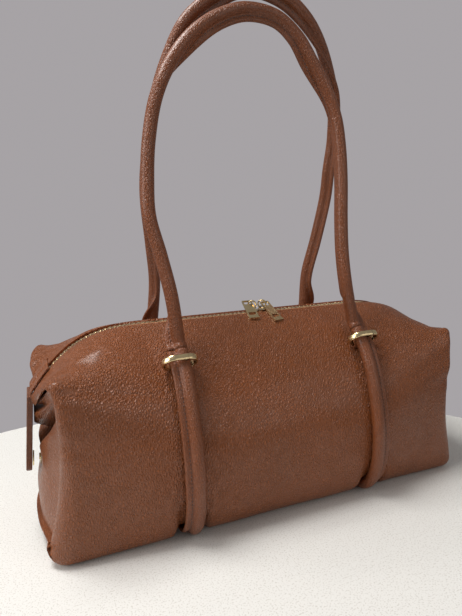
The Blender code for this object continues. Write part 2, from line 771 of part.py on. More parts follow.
def zip_frame(along):
    """The middle of the zip in the plane of its tape, its direction and its upward normal."""
    nudge = 0.004
    ahead = zip_edge(min(along + nudge, 1.0), 0.0)
    behind = zip_edge(max(along - nudge, -1.0), 0.0)
    direction = (ahead - behind).normalized()
    normal = Vector((-direction.z, 0.0, direction.x))
    return zip_edge(along, 0.0) - normal * ZIP_SUNK, direction, normal


def zip_share_at(distance):
    """The share along the bag at a distance along the zip from its middle."""
    shares = steps_between(0.0, 1.0, 120)
    points = [zip_frame(share)[0] for share in shares]
    lengths = [(end - start).length for start, end in zip(points, points[1:])]
    distances = [0.0] + list(numpy.cumsum(lengths))
    return math.copysign(float(numpy.interp(abs(distance), distances, shares)), distance)


def prism(shape, outline, middle, x_way, y_way, z_way, low, high):
    """Adds a closed prism over an outline to a shape, between two heights."""
    bottom = []
    top = []
    for x, y in outline:
        point = middle + x_way * x + y_way * y
        bottom.append(shape.verts.new(point + z_way * low))
        top.append(shape.verts.new(point + z_way * high))
    shape.faces.new(bottom)
    shape.faces.new(top)
    for index in range(len(outline)):
        after = (index + 1) % len(outline)
        shape.faces.new((bottom[index], bottom[after], top[after], top[index]))


def finished_shape(name, shape):
    bmesh.ops.recalc_face_normals(shape, faces=shape.faces)
    mesh = bpy.data.meshes.new(name)
    shape.to_mesh(mesh)
    shape.free()
    return mesh


def zip_tape(name, side, material, group):
    """One half of the zip's tape, from behind the teeth to under the leather's edge."""
    half = LENGTH_SHARES[:-1] + [ZIP_TAPE_SHARE]
    rows = []
    for along in [-share for share in reversed(half[1:])] + half:
        middle, direction, normal = zip_frame(along)
        inner = middle + normal * TAPE_THICKNESS / 2
        inner.y = side * (TOOTH_TAIL + TOOTH_GAP)
        row = [inner, inner + Vector((0, side * TAPE_FLAT, 0))]
        for step in (0.0, TAPE_STEP):
            row.append(rolled_skin(side, along, 0.0, step, LEATHER + TAPE_GAP))
        rows.append(row)
    return solidified(name, rows, TAPE_THICKNESS, material, group)


def zip_teeth(name, side, material, group):
    """One row of teeth along the zip on the cord that carries them, as a comb.  The other row is
    half a pitch further on, so that the two mesh."""
    shape = bmesh.new()
    half_count = int(TEETH_LENGTH / 2 / TOOTH_PITCH)
    offset = TOOTH_PITCH / 2 if side > 0 else 0.0
    stations = []
    for index in range(-half_count, half_count + (0 if side > 0 else 1)):
        middle = index * TOOTH_PITCH + offset
        stations.append((middle, -TOOTH_OVERLAP))
        stations.append((middle + TOOTH_PITCH / 2, TOOTH_ROOT))
    stations.pop()
    rings = []
    for distance, nose in stations:
        middle, direction, normal = zip_frame(zip_share_at(distance))
        corners = ((nose, 1), (TOOTH_TAIL, 1), (TOOTH_TAIL, -1), (nose, -1))
        rings.append([shape.verts.new(middle + Vector((0, side * across, 0))
                                      + normal * up * TOOTH_HEIGHT / 2) for across, up in corners])
    for ring, following in zip(rings, rings[1:]):
        for index in range(4):
            after = (index + 1) % 4
            shape.faces.new((ring[index], ring[after], following[after], following[index]))
    shape.faces.new(rings[0])
    shape.faces.new(rings[-1])
    return add_object(name, finished_shape(name, shape), material, group)


def zip_end_stop(name, hand, material, group):
    """The stop that holds the two rows of teeth together past their end."""
    shape = bmesh.new()
    outline = [(-STOP_LENGTH / 2, -TOOTH_TAIL), (STOP_LENGTH / 2, -TOOTH_TAIL),
               (STOP_LENGTH / 2, TOOTH_TAIL), (-STOP_LENGTH / 2, TOOTH_TAIL)]
    along = zip_share_at(hand * (TEETH_LENGTH / 2 + STOP_LENGTH))
    middle, direction, normal = zip_frame(along)
    prism(shape, outline, middle, direction, Vector((0, 1, 0)), normal,
          -TOOTH_HEIGHT / 2, TOOTH_HEIGHT / 2)
    part = add_object(name, finished_shape(name, shape), material, group)
    rounded_edges(part, TOOTH_HEIGHT / 6, 1)
    return part


def cutter_object(name, mesh, cutters):
    cutter = bpy.data.objects.new(name, mesh)
    cutters.objects.link(cutter)
    cutter.hide_render = True
    cutter.display_type = "WIRE"
    return cutter


def boolean(part, cutter, operation):
    change = part.modifiers.new(cutter.name, "BOOLEAN")
    change.operation = operation
    change.solver = "EXACT"
    change.object = cutter


def slider_top():
    """Height of the top of a slider's upper plate."""
    return zip_frame(0.0)[0].z + TOOTH_HEIGHT / 2 + SLIDER_PLAY + SLIDER_PLATE


def slider_middle(hand):
    return SLIDERS_MEET_AT + hand * (SLIDER_SPACING + SLIDER_LENGTH) / 2


def slider(name, hand, material, group, cutters):
    """A zip slider: an upper shell whose channel straddles the teeth, with a bridge along its
    top for the pull's link."""
    plane = zip_frame(0.0)[0].z
    middle = Vector((slider_middle(hand), 0.0, plane))
    nose, tail = -SLIDER_LENGTH / 2, SLIDER_LENGTH / 2
    half_width = SLIDER_WIDTH / 2
    outline = [(nose, -half_width * NOSE_WIDTH_SHARE),
               (lerp(nose, tail, SHOULDER_SHARE), -half_width),
               (lerp(tail, nose, TAIL_TAPER_SHARE), -half_width * TAIL_WIDTH_SHARE),
               (tail, -half_width * NOSE_WIDTH_SHARE)]
    outline += [(x, -y) for x, y in reversed(outline)]
    over_tape = TAPE_THICKNESS / 2 + SLIDER_PLAY
    over_teeth = TOOTH_HEIGHT / 2 + SLIDER_PLAY
    x_way, y_way, z_way = Vector((hand, 0, 0)), Vector((0, 1, 0)), Vector((0, 0, 1))
    shape = bmesh.new()
    prism(shape, outline, middle, x_way, y_way, z_way, over_tape, over_teeth + SLIDER_PLATE)
    part = add_object(name, finished_shape(name, shape), material, group)
    channel_half = TOOTH_TAIL + SLIDER_PLAY
    channel = box_mesh(name + "_channel", (middle.x - SLIDER_LENGTH, -channel_half, plane),
                       (middle.x + SLIDER_LENGTH, channel_half, plane + over_teeth))
    boolean(part, cutter_object(name + "_channel", channel, cutters), "DIFFERENCE")
    foot = SLIDER_LENGTH * BRIDGE_LENGTH_SHARE / 2
    slope = BRIDGE_HEIGHT / 3
    arch = [(-foot, -SLIDER_PLATE / 2), (-foot, 0), (-foot + slope, BRIDGE_HEIGHT),
            (foot - slope, BRIDGE_HEIGHT), (foot, 0), (foot, -SLIDER_PLATE / 2),
            (foot - BRIDGE_WIRE, -SLIDER_PLATE / 2), (foot - BRIDGE_WIRE, 0),
            (foot - slope - BRIDGE_WIRE / 2, BRIDGE_HEIGHT - BRIDGE_WIRE),
            (-foot + slope + BRIDGE_WIRE / 2, BRIDGE_HEIGHT - BRIDGE_WIRE),
            (-foot + BRIDGE_WIRE, 0), (-foot + BRIDGE_WIRE, -SLIDER_PLATE / 2)]
    bridge = outline_mesh(name + "_bridge", [arch], BRIDGE_WIDTH)
    placed(bridge, Vector((1, 0, 0)), Vector((0, 0, 1)), Vector((0, -1, 0)),
           Vector((middle.x, 0.0, slider_top())))
    boolean(part, cutter_object(name + "_bridge", bridge, cutters), "UNION")
    return part


def link_way(hand):
    """The level direction in a link's own plane, towards the pull that it carries."""
    return Vector((hand * math.cos(LINK_TURN), -hand * math.sin(LINK_TURN), 0.0))


def link_foot(hand):
    """The middle of the link's wire where it passes under the bridge."""
    return Vector((slider_middle(hand), 0.0, slider_top() + LINK_PLAY + LINK_WIRE_RADIUS))


def link(name, hand, material, group):
    """A round wire link that stands on the slider's bridge."""
    foot = link_foot(hand)
    centre = foot + Vector((0, 0, LINK_RADIUS))
    way = link_way(hand)
    shape = bmesh.new()
    bmesh.ops.create_circle(shape, segments=6, radius=LINK_WIRE_RADIUS, cap_ends=False)
    across = way.cross(Vector((0, 0, 1)))
    for vertex in shape.verts:
        vertex.co = centre + way * (LINK_RADIUS + vertex.co.x) + across * vertex.co.y
    bmesh.ops.spin(shape, geom=shape.verts[:] + shape.edges[:], cent=centre, axis=across,
                   angle=2 * math.pi, steps=16, use_merge=True)
    bmesh.ops.remove_doubles(shape, verts=shape.verts, dist=0.00001)
    mesh = finished_shape(name, shape)
    mesh.shade_smooth()
    return add_object(name, mesh, material, group, foot)


def crown_height_at(depth):
    """Height of the body's top at a distance in front of the zip."""
    steps = steps_between(0.0, 4.0, 40)
    points = [skin(1, 0.0, step) for step in steps]
    depths = [point.y for point in points]
    return float(numpy.interp(abs(depth), depths, [point.z for point in points]))


def pull_frame(hand):
    """Where the link's wire passes through the pull, and the pull's directions: along it to its
    free end, across it and out of its face.  The free end is let down until the pull rests on
    the leather."""
    pierce = LEFT_PIERCE if hand < 0 else RIGHT_PIERCE
    turn = LEFT_PULL_TURN if hand < 0 else RIGHT_PULL_TURN
    wire = link_foot(hand) + Vector((0, 0, LINK_RADIUS))
    wire += link_way(hand) * LINK_RADIUS * math.cos(pierce)
    wire += Vector((0, 0, LINK_RADIUS * math.sin(pierce)))
    level = Vector((math.sin(turn), -math.cos(turn), 0.0))
    across = Vector((math.cos(turn), math.sin(turn), 0.0))
    best = None
    for angle in steps_between(0.0, math.radians(60.0), 240):
        along = level * math.cos(angle) - Vector((0, 0, math.sin(angle)))
        face = along.cross(across)
        touching = False
        for distance in steps_between(0.0, PULL_LENGTH, 20):
            for edge in (-PULL_WIDTH / 2, PULL_WIDTH / 2):
                point = wire + along * distance + across * edge - face * PULL_THICKNESS / 2
                if abs(point.y) > ZIP_OPENING / 2 - FIT_GAP:
                    touching = touching or point.z < crown_height_at(point.y) + FIT_GAP
        if touching:
            break
        best = (along, across, face)
    return wire, *best


def pull(name, hand, material, group, cutters):
    """A flat pull bar with a slot for the link, a window near its free end and a raised lip."""
    wire, along, across, face = pull_frame(hand)
    shift = PULL_SIDE_SHIFT if hand < 0 else 0.0
    slot_middle = PULL_FRAME + PULL_SLOT / 2

    def moved(outline, distance):
        return [(x, y + distance) for x, y in outline]

    outer = moved(rounded_rectangle(PULL_WIDTH, PULL_LENGTH, PULL_CORNER, 2),
                  PULL_LENGTH / 2 - slot_middle)
    slot = rounded_rectangle(PULL_WIDTH - 2 * PULL_FRAME, PULL_SLOT, PULL_CORNER, 2)
    window = moved(rounded_rectangle(PULL_WIDTH - 2 * PULL_FRAME, PULL_WINDOW, PULL_CORNER / 2, 1),
                   PULL_WINDOW_AT - slot_middle)
    mesh = outline_mesh(name, [outer, slot, window], PULL_THICKNESS)
    middle = wire - across * shift
    placed(mesh, across, along, face, middle)
    part = add_object(name, mesh, material, group, wire)
    far = PULL_LENGTH - slot_middle
    lip = box_mesh(name + "_lip", (-PULL_WIDTH / 2, far - PULL_LIP_LENGTH, 0.0),
                   (PULL_WIDTH / 2, far, PULL_THICKNESS / 2 + PULL_LIP))
    placed(lip, across, along, face, middle)
    boolean(part, cutter_object(name + "_lip", lip, cutters), "UNION")
    return part


def zip_cover(name, hand, material, group):
    """The leather patch over the end of the zip, where the two panels come together."""
    rows = []
    for share in COVER_SHARES:
        along = hand * share
        normal = zip_frame(along)[2]
        row = []
        for depth in steps_between(-COVER_WIDTH / 2, COVER_WIDTH / 2, 6):
            side = 1 if depth > 0 else -1
            steps = steps_between(0.0, 2.0, 20)
            points = [skin(side, along, step) for step in steps]
            depths = [abs(point.y) for point in points]
            x = float(numpy.interp(abs(depth), depths, [point.x for point in points]))
            z = float(numpy.interp(abs(depth), depths, [point.z for point in points]))
            row.append(Vector((x, depth, z)) + normal * (COVER_THICKNESS + 2 * FIT_GAP))
        rows.append(row)
    return solidified(name, rows, COVER_THICKNESS, material, group)


def end_panel_reach(height):
    """How far the middle of an end panel stands out at a height."""
    rows = end_rows(1)
    middles = [row[len(row) // 2] for row in rows]
    return float(numpy.interp(height, [point.z for point in middles], [point.x for point in middles]))


def tab_top():
    """The middle of the right tab's top edge, under the end of the zip's cover."""
    end = zip_edge(1.0, 0.0)
    return Vector((end.x + 2 * FIT_GAP + TAB_THICKNESS / 2, 0.0, end.z - FIT_GAP))


def snap_height():
    return tab_top().z - SNAP_DROP


def stud_frame(hand):
    """The middle of the stud's disc on the end panel, and its directions up and outwards."""
    height = snap_height()
    down, across, outward = tab_frame(hand)[1:]
    rises = [share * SNAP_RADIUS for share in steps_between(-1.0, 1.0, 4)]
    reach = max(end_panel_reach(height + rise) + rise * math.tan(TAB_LEAN) for rise in rises)
    return Vector((hand * reach, 0.0, height)) + outward * FIT_GAP, -down, outward


def tab_frame(hand):
    """The middle of the tab's top edge, and its directions down, across and outwards."""
    top = tab_top()
    down = Vector((hand * math.sin(TAB_LEAN), 0.0, -math.cos(TAB_LEAN)))
    outward = Vector((hand * math.cos(TAB_LEAN), 0.0, math.sin(TAB_LEAN)))
    return Vector((hand * top.x, 0.0, top.z)), down, Vector((0.0, 1.0, 0.0)), outward


def tab_hinge(hand):
    """The middle of the tab's outer top edge, about which it lifts."""
    top, down, across, outward = tab_frame(hand)
    return top + outward * TAB_THICKNESS / 2


def tab(name, hand, material, group):
    """The leather tab that hangs over the end of the bag from the end of the zip."""
    top, down, across, outward = tab_frame(hand)
    corners = rounded_rectangle(TAB_WIDTH, 2 * TAB_LENGTH, TAB_CORNER)
    outline = [(TAB_WIDTH / 2, 0.0)] + [point for point in corners if point[1] > 0.0]
    outline.append((-TAB_WIDTH / 2, 0.0))
    mesh = outline_mesh(name, [outline], TAB_THICKNESS)
    placed(mesh, across, down, outward, top)
    part = add_object(name, mesh, material, group, tab_hinge(hand))
    rounded_edges(part, TAB_THICKNESS / 5, 1)
    return part


def disc_outline(radius, count=16):
    return [(radius * math.cos(2 * math.pi * index / count),
             radius * math.sin(2 * math.pi * index / count)) for index in range(count)]


def snap_stud(name, hand, material, group, cutters):
    """The half of the snap on the end panel: a disc with a stud."""
    middle, upward, outward = stud_frame(hand)
    across = Vector((0.0, 1.0, 0.0))
    shape = bmesh.new()
    prism(shape, disc_outline(SNAP_RADIUS), middle, across, upward, outward, 0.0, SNAP_DISC)
    part = add_object(name, finished_shape(name, shape), material, group)
    shape = bmesh.new()
    prism(shape, disc_outline(STUD_RADIUS, 12), middle, across, upward, outward,
          SNAP_DISC / 2, SNAP_DISC + SNAP_SOCKET)
    post = cutter_object(name + "_post", finished_shape(name + "_post", shape), cutters)
    boolean(part, post, "UNION")
    return part


def snap_socket(name, hand, material, group):
    """The half of the snap on the tab: a disc with a hole that takes the stud."""
    top, down, across, outward = tab_frame(hand)
    distance = SNAP_DROP / math.cos(TAB_LEAN)
    middle = top + down * distance - outward * (TAB_THICKNESS / 2 + FIT_GAP + SNAP_SOCKET / 2)
    mesh = outline_mesh(name, [disc_outline(SNAP_RADIUS), disc_outline(SOCKET_RADIUS)], SNAP_SOCKET)
    placed(mesh, across, down, outward, middle)
    return add_object(name, mesh, material, group, tab_hinge(hand))


def main():
    remove_old_objects()
    bag = new_collection("shoulder_bag")
    cutters = new_collection("cutters")
    leather = principled("pebbled_leather", COGNAC, 0.55)
    edge_leather = principled("strap_leather", COGNAC_EDGE, 0.5)
    cloth = principled("lining_cloth", LINING_BROWN, 0.8)
    board = principled("board", BOARD_GREY, 0.9)
    gold = principled("pale_gold", PALE_GOLD, 0.25, 1.0)
    tape = principled("zip_tape", TAPE_TAN, 0.8)
    body_panel("front_panel", -1, leather, bag)
    body_panel("rear_panel", 1, leather, bag)
    base_panel(leather, bag)
    end_panel("left_end_panel", -1, leather, bag)
    end_panel("right_end_panel", 1, leather, bag)
    lining_wrap(cloth, bag)
    end_lining("left_end_lining", -1, cloth, bag)
    end_lining("right_end_lining", 1, cloth, bag)
    base_board(board, bag)
    strap("left_strap", -1, edge_leather, bag, cutters)
    strap("right_strap", 1, edge_leather, bag, cutters)
    handle("front_handle", -1, FRONT_LOOP_SHARES, FRONT_LOOP_HEIGHT, edge_leather, bag)
    handle("rear_handle", 1, REAR_LOOP_SHARES, REAR_LOOP_HEIGHT, edge_leather, bag)
    for place, side, hand in ring_places():
        handle_ring(place + "_ring", side, hand, gold, bag)
        ring_keeper(place + "_keeper", side, hand, edge_leather, bag)
    for name, side in (("front", -1), ("rear", 1)):
        zip_tape("zip_tape_" + name, side, tape, bag)
        zip_teeth("zip_teeth_" + name, side, gold, bag)
    for name, hand in (("left", -1), ("right", 1)):
        zip_end_stop(name + "_zip_stop", hand, gold, bag)
        slider(name + "_slider", hand, gold, bag, cutters)
        link(name + "_slider_ring", hand, gold, bag)
        pull(name + "_pull", hand, gold, bag, cutters)
        zip_cover(name + "_zip_cover", hand, leather, bag)
        tab(name + "_tab", hand, edge_leather, bag)
        snap_stud(name + "_snap_stud", hand, gold, bag, cutters)
        snap_socket(name + "_snap_socket", hand, gold, bag)


main()
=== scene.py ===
"""The looks of the long zipped shoulder bag: pebbled leather panels, rolled and stitched handles,
a gold zip with two pulls, gold rings, and tabs with snaps at the ends.

Lengths are in metres.  +X runs along the bag, -Y is its front and it stands on z = 0.
"""
import functools
import math

import bmesh
import bpy
from mathutils import Matrix, Vector, noise


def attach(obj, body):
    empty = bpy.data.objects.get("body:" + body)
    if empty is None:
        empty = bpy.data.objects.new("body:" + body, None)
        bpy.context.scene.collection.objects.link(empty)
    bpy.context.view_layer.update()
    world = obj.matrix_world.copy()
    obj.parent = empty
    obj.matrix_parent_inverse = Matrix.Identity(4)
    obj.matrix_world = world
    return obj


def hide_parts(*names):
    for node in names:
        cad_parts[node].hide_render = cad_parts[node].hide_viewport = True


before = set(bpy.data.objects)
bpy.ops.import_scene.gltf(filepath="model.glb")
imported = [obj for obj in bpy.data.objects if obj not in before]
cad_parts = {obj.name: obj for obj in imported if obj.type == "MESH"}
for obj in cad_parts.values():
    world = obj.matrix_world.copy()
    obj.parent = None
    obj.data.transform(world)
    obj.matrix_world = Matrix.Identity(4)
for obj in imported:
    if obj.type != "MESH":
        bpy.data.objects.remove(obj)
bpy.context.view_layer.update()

# Body, measured on the outside of the leather
BASE_LENGTH = 0.360
BELLY_DEPTH = 0.149
END_DEPTH = 0.130
CROWN_HEIGHT = 0.1432
EAR_HEIGHT = 0.1212
LEATHER = 0.0018
LINING = 0.0008
EAR_EDGE_RADIUS = 0.0045
END_EDGE_RADIUS = 0.0130
FOLD_DEPTH = 0.018
FOLD_HALF_HEIGHT = 0.013
FOLD_HALF_HEIGHT_AT_EAR = 0.010
FOLD_HEIGHT = 0.073
FOLD_HEIGHT_AT_EAR = 0.121
FOLD_LIP = 0.003
FOLD_FULL = 0.015
END_BULGE = 0.0112
BASE_SAG = 0.0086
STRAP_DENT_START = 0.0095
STRAP_DENT_END = 0.0150
SHOULDER_RISE = 0.0095
REAR_EAR_REACH = 0.0070
REAR_CREST = 0.0006
SEAM_GAP = 0.0004
FIT_GAP = 0.0004
LINING_GAP = 0.0016

# Rolled handles and straps
TUBE_RADIUS = 0.0050
FLANGE_WIDTH = 0.0050
FLANGE_THICKNESS = 0.0030
FOOT_FLAT = 0.0005
STRAP_SPREAD = 0.154
STRAP_GAP = 0.0010
HANDLE_WIDTH = 0.184
FRONT_LOOP_HEIGHT = 0.256
REAR_LOOP_HEIGHT = 0.277
HANDLE_LEAN = math.radians(9.5)
LEG_BEND_LENGTH = 0.008

# Handle rings and the leather loops that hold them
RING_WALL = 0.0022
RING_BAND = 0.0044
RING_SIDE_PLAY = 0.0040
RING_FRONT_PLAY = 0.0014
RING_TO_FOLD = 0.0090
KEEPER_LEATHER = 0.0012
KEEPER_ROOM = 0.0038

# Zip
TAPE_THICKNESS = 0.0008
TAPE_WIDTH = 0.010
TAPE_GAP = 0.0016
TAPE_FLAT = 0.0006
TEETH_LENGTH = 0.342
TOOTH_PITCH = 0.0038
TOOTH_TAIL = 0.0034
TOOTH_ROOT = 0.0024
TOOTH_OVERLAP = 0.0008
TOOTH_HEIGHT = 0.0022
TOOTH_GAP = 0.0004
ZIP_SUNK = 0.0010

# Leather covers and tabs at the ends of the zip
COVER_WIDTH = 0.024
COVER_THICKNESS = 0.0014
COVER_START_SHARE = 0.925
COVER_ROWS = 20
COVER_ROW_STEP = 0.1
TAB_THICKNESS = 0.0042
TAB_LEAN = math.radians(5.5)
SNAP_DROP = 0.0525

# Outline of half a section at the middle of the bag, from the zip down to the seam under the
# base: shares of half the belly's depth, and of the crown's height.  A step is the number of a
# row here, counted from 0, and may lie between two rows.
MIDDLE_SHARES = [(0.107, 1.000), (0.290, 0.936), (0.475, 0.862), (0.660, 0.745), (0.828, 0.617),
                 (0.940, 0.480), (0.994, 0.347), (0.994, 0.207), (0.924, 0.084), (0.795, 0.013),
                 (0.640, 0.000)]
# The same outline at the end of the bag: shares of half the end's depth and of the ear's
# height, and then its reach along the bag as a share of half the base's length
END_SHARES = [(0.154, 0.825, 1.018), (0.340, 0.875, 1.003), (0.580, 0.945, 0.980),
              (0.800, 0.996, 0.946), (0.945, 0.935, 0.925), (0.990, 0.750, 0.919),
              (1.000, 0.530, 0.925), (1.005, 0.303, 0.947), (0.992, 0.125, 0.974),
              (0.930, 0.020, 0.990), (0.760, 0.000, 0.985)]
SHOULDER_START_SHARE = 0.56
ZIP_DIP_START_SHARE = 0.50
SQUARING_START_SHARE = 0.28
ZIP_DIP_POWER = 3.1
SQUARING_POWER = 1.9

# Handle loops seen from the front, from the left ring over the top to the right ring: shares
# of half the handle's width and of the loop's height
FRONT_LOOP_SHARES = [(-0.872, 0.15), (-0.93, 0.27), (-0.992, 0.38), (-0.983, 0.48),
                     (-0.945, 0.59), (-0.861, 0.71), (-0.725, 0.81), (-0.54, 0.895), (-0.31, 0.96),
                     (-0.03, 1.0), (0.26, 0.992), (0.465, 0.937), (0.59, 0.866), (0.715, 0.78),
                     (0.798, 0.69), (0.818, 0.59), (0.806, 0.48), (0.774, 0.36), (0.757, 0.25),
                     (0.768, 0.14)]
REAR_LOOP_SHARES = [(-0.80, 0.15), (-0.83, 0.27), (-0.872, 0.42), (-0.845, 0.55), (-0.776, 0.68),
                    (-0.68, 0.78), (-0.54, 0.875), (-0.36, 0.935), (-0.12, 0.985), (0.11, 1.0),
                    (0.36, 0.985), (0.56, 0.95), (0.72, 0.90), (0.86, 0.825), (0.98, 0.72),
                    (1.02, 0.60), (1.005, 0.50), (0.995, 0.40), (0.93, 0.26), (0.86, 0.14)]

# Worked out from the sizes above
BASE_LIFT = 2 * TUBE_RADIUS + FIT_GAP - FOOT_FLAT
HALF_LENGTH = BASE_LENGTH / 2
STRAP_X = STRAP_SPREAD / 2
LAST_STEP = len(MIDDLE_SHARES) - 1
KEEPER_STACK = 2 * FIT_GAP + 2 * KEEPER_LEATHER + KEEPER_ROOM
RING_STANDOFF = TUBE_RADIUS + KEEPER_STACK
BODY_CENTRE = Vector((0.0, 0.0, CROWN_HEIGHT / 2))
QUARTER_TURN = math.pi / 2

# Steps at which a form starts, ends or changes
CREST_STEPS = (0.0, 1.5)
CROWN_STEPS = (0.0, 3.2)
SHOULDER_STEPS = (0.0, 3.6)
REAR_EAR_STEPS = (0.8, 4.6)
EAR_TIP_STEP = 3.0
EAR_SEAM_STEPS = (3.0, 4.4)
SOFT_EDGE_STEPS = (4.6, 7.0)
SAG_STEPS = (5.5, 8.5)
END_CORNER_STEP = 9.0
TAPE_STEP = 0.36
LINING_START_STEP = 0.62
LINING_WALL_STEP = 1.66
RING_STEP = 2.55
STRAP_CLOSE_STEP = 4.95
STRAP_STEPS = [3.2, 4.0, 5.0, 6.0, 7.0, 7.8, 8.4, 9.0, 9.5]

# Shares of a length at which a form starts, ends or changes
ROLL_SHARE = 0.09
ZIP_TAPE_SHARE = 0.98
TAPE_FLAT_SHARE = 0.25
TAPE_SLOPE_SHARE = 0.625
LINING_WRAP_SHARE = 0.77
END_LINING_SHARE = 0.768
BULGE_HEIGHT_SHARE = 0.84
BULGE_POWER = 1.5
FLAP_SHARES = (0.44, 0.62)
BEHIND_TAB_SHARE = 0.2
UNDER_SHARE = 0.30
TURN_IN_SHARE = 0.12
TURN_OVER_SHARES = (0.72, 0.98)

# Sewn edges, the end panels' looser leather, and the dents that the snap and the tab leave in it
EAR_SEAM = 0.0022
END_SEAM = 0.0011
EXTRA_BULGE = 0.0040
EXTRA_BULGE_HEIGHTS = (0.004, 0.088)
SNAP_DENT = 0.011
TAB_CLEARANCE = 0.0008
FLAP_RISE = 0.012
FLAP_LIP = 0.006
CREASE_HEIGHT = 0.0006
CREASE_REPEAT = 40.0

# Soft leather of the front and the rear: waves, puckers along an ear's edge, and lines drawn
# towards the ends, with their heights, their repeats, how far they reach from an end and at which
# steps they rise and fade
WAVE_HEIGHT = 0.0010
WAVE_REPEAT = 13.0
RIPPLE_HEIGHT = 0.0005
RIPPLE_REPEAT = 29.0
RIPPLE_SHIFT = Vector((7, 0, 0))
PUCKER_HEIGHT = 0.00055
PUCKER_REPEAT = 2.5
PUCKER_SWAY = 2.2
PUCKER_SWAY_REPEAT = 40.0
PUCKER_REACH = 0.011
PUCKER_STEPS = ((0.6, 1.6), (5.2, 6.6))
DRAWN_HEIGHT = 0.0006
DRAWN_REPEAT = 1.35
DRAWN_SLANT = 6.0
DRAWN_REACH = 0.035
DRAWN_STEPS = ((1.0, 2.0), (5.0, 7.0))
# Where the leather is held still: beside a strap and the pulls, and at the zip and the base
STRAP_HOLD = (0.010, 0.030)
PULLS_X = 0.008
PULLS_HOLD = (0.022, 0.040)
PULLS_HOLD_STEPS = (2.6, 3.2)
ZIP_HOLD_STEPS = (0.0, 0.7)
BASE_HOLD_STEPS = (8.6, 9.6)
BASE_HOLD = 0.7
HELD_DENT = 0.0002
HELD_DENT_STEPS = (0.0, 1.0)

# Teeth: distances across the zip, with half widths as shares of the pitch
TOOTH_OUTLINE = [(-TOOTH_OVERLAP, 0.14), (TOOTH_OVERLAP, 0.27), (TOOTH_ROOT, 0.20),
                 (TOOTH_TAIL, 0.31)]
TOOTH_BEVEL = 0.00022

# Section of the rolled leather, its thread, and the spacing of points along a path
TUBE_SIDES = 22
FLANGE_POINTS = (0.18, 0.45, 0.75, 1.0)
FLANGE_PINCH = 0.86
RIM_ANGLES = [math.radians(angle) for angle in (-60, -30, 0, 30, 60)]
THREAD_RADIUS = 0.00030
THREAD_FLATNESS = 0.8
STITCH_PITCH = 0.0027
STITCH_LENGTH = 0.0019
STITCH_LINE = TUBE_RADIUS + 0.0010
STITCH_HEIGHT = FLANGE_THICKNESS / 2 * 0.95
SWEEP_SPACING = 0.0020
FINE_POINTS = 12
BAND_SOFTNESS = 0.6

# Table, and the photograph's camera with its focal length and picture height in pixels
TABLE_RADIUS = 0.45
TABLE_THICKNESS = 0.02
TABLE_PLACE = (-0.102, -0.230, 0.0)
CAMERA_PLACE = (-0.1737, -0.3850, 0.2329)
CAMERA_TURNS = (22.03, 10.21, -1.35)
FOCAL_PIXELS = 495.4
PICTURE_PIXELS = 616.0
SENSOR_HEIGHT = 36.0


# Finishes
# Numbers of a colour mix's two colour inputs and of its colour output
MIX_LOW = 6
MIX_HIGH = 7
MIX_RESULT = 2


def shaded(tone, *factors):
    """A tone with its channels multiplied, by one factor or by one for each."""
    factors = factors * 3 if len(factors) == 1 else factors
    return tuple(channel * factor for channel, factor in zip(tone, factors))


class Value:
    """A number that varies over a surface, written as plain arithmetic."""

    def __init__(self, finish, socket):
        self.finish = finish
        self.socket = socket

    def combined(self, operation, *others):
        sockets = dict(enumerate((self, *others)))
        return self.finish.node("ShaderNodeMath", {"operation": operation}, sockets)

    def __add__(self, other):
        return self.combined("ADD", other)

    def __radd__(self, other):
        return self.combined("ADD", other)

    def __rsub__(self, other):
        return (self * -1.0).combined("ADD", other)

    def __mul__(self, other):
        return self.combined("MULTIPLY", other)

    def clamped(self, low, high):
        """0 below low and 1 above high, with a smooth step between them."""
        return self.finish.node("ShaderNodeMapRange", {"interpolation_type": "SMOOTHSTEP"},
                                {"Value": self, "From Min": low, "From Max": high})


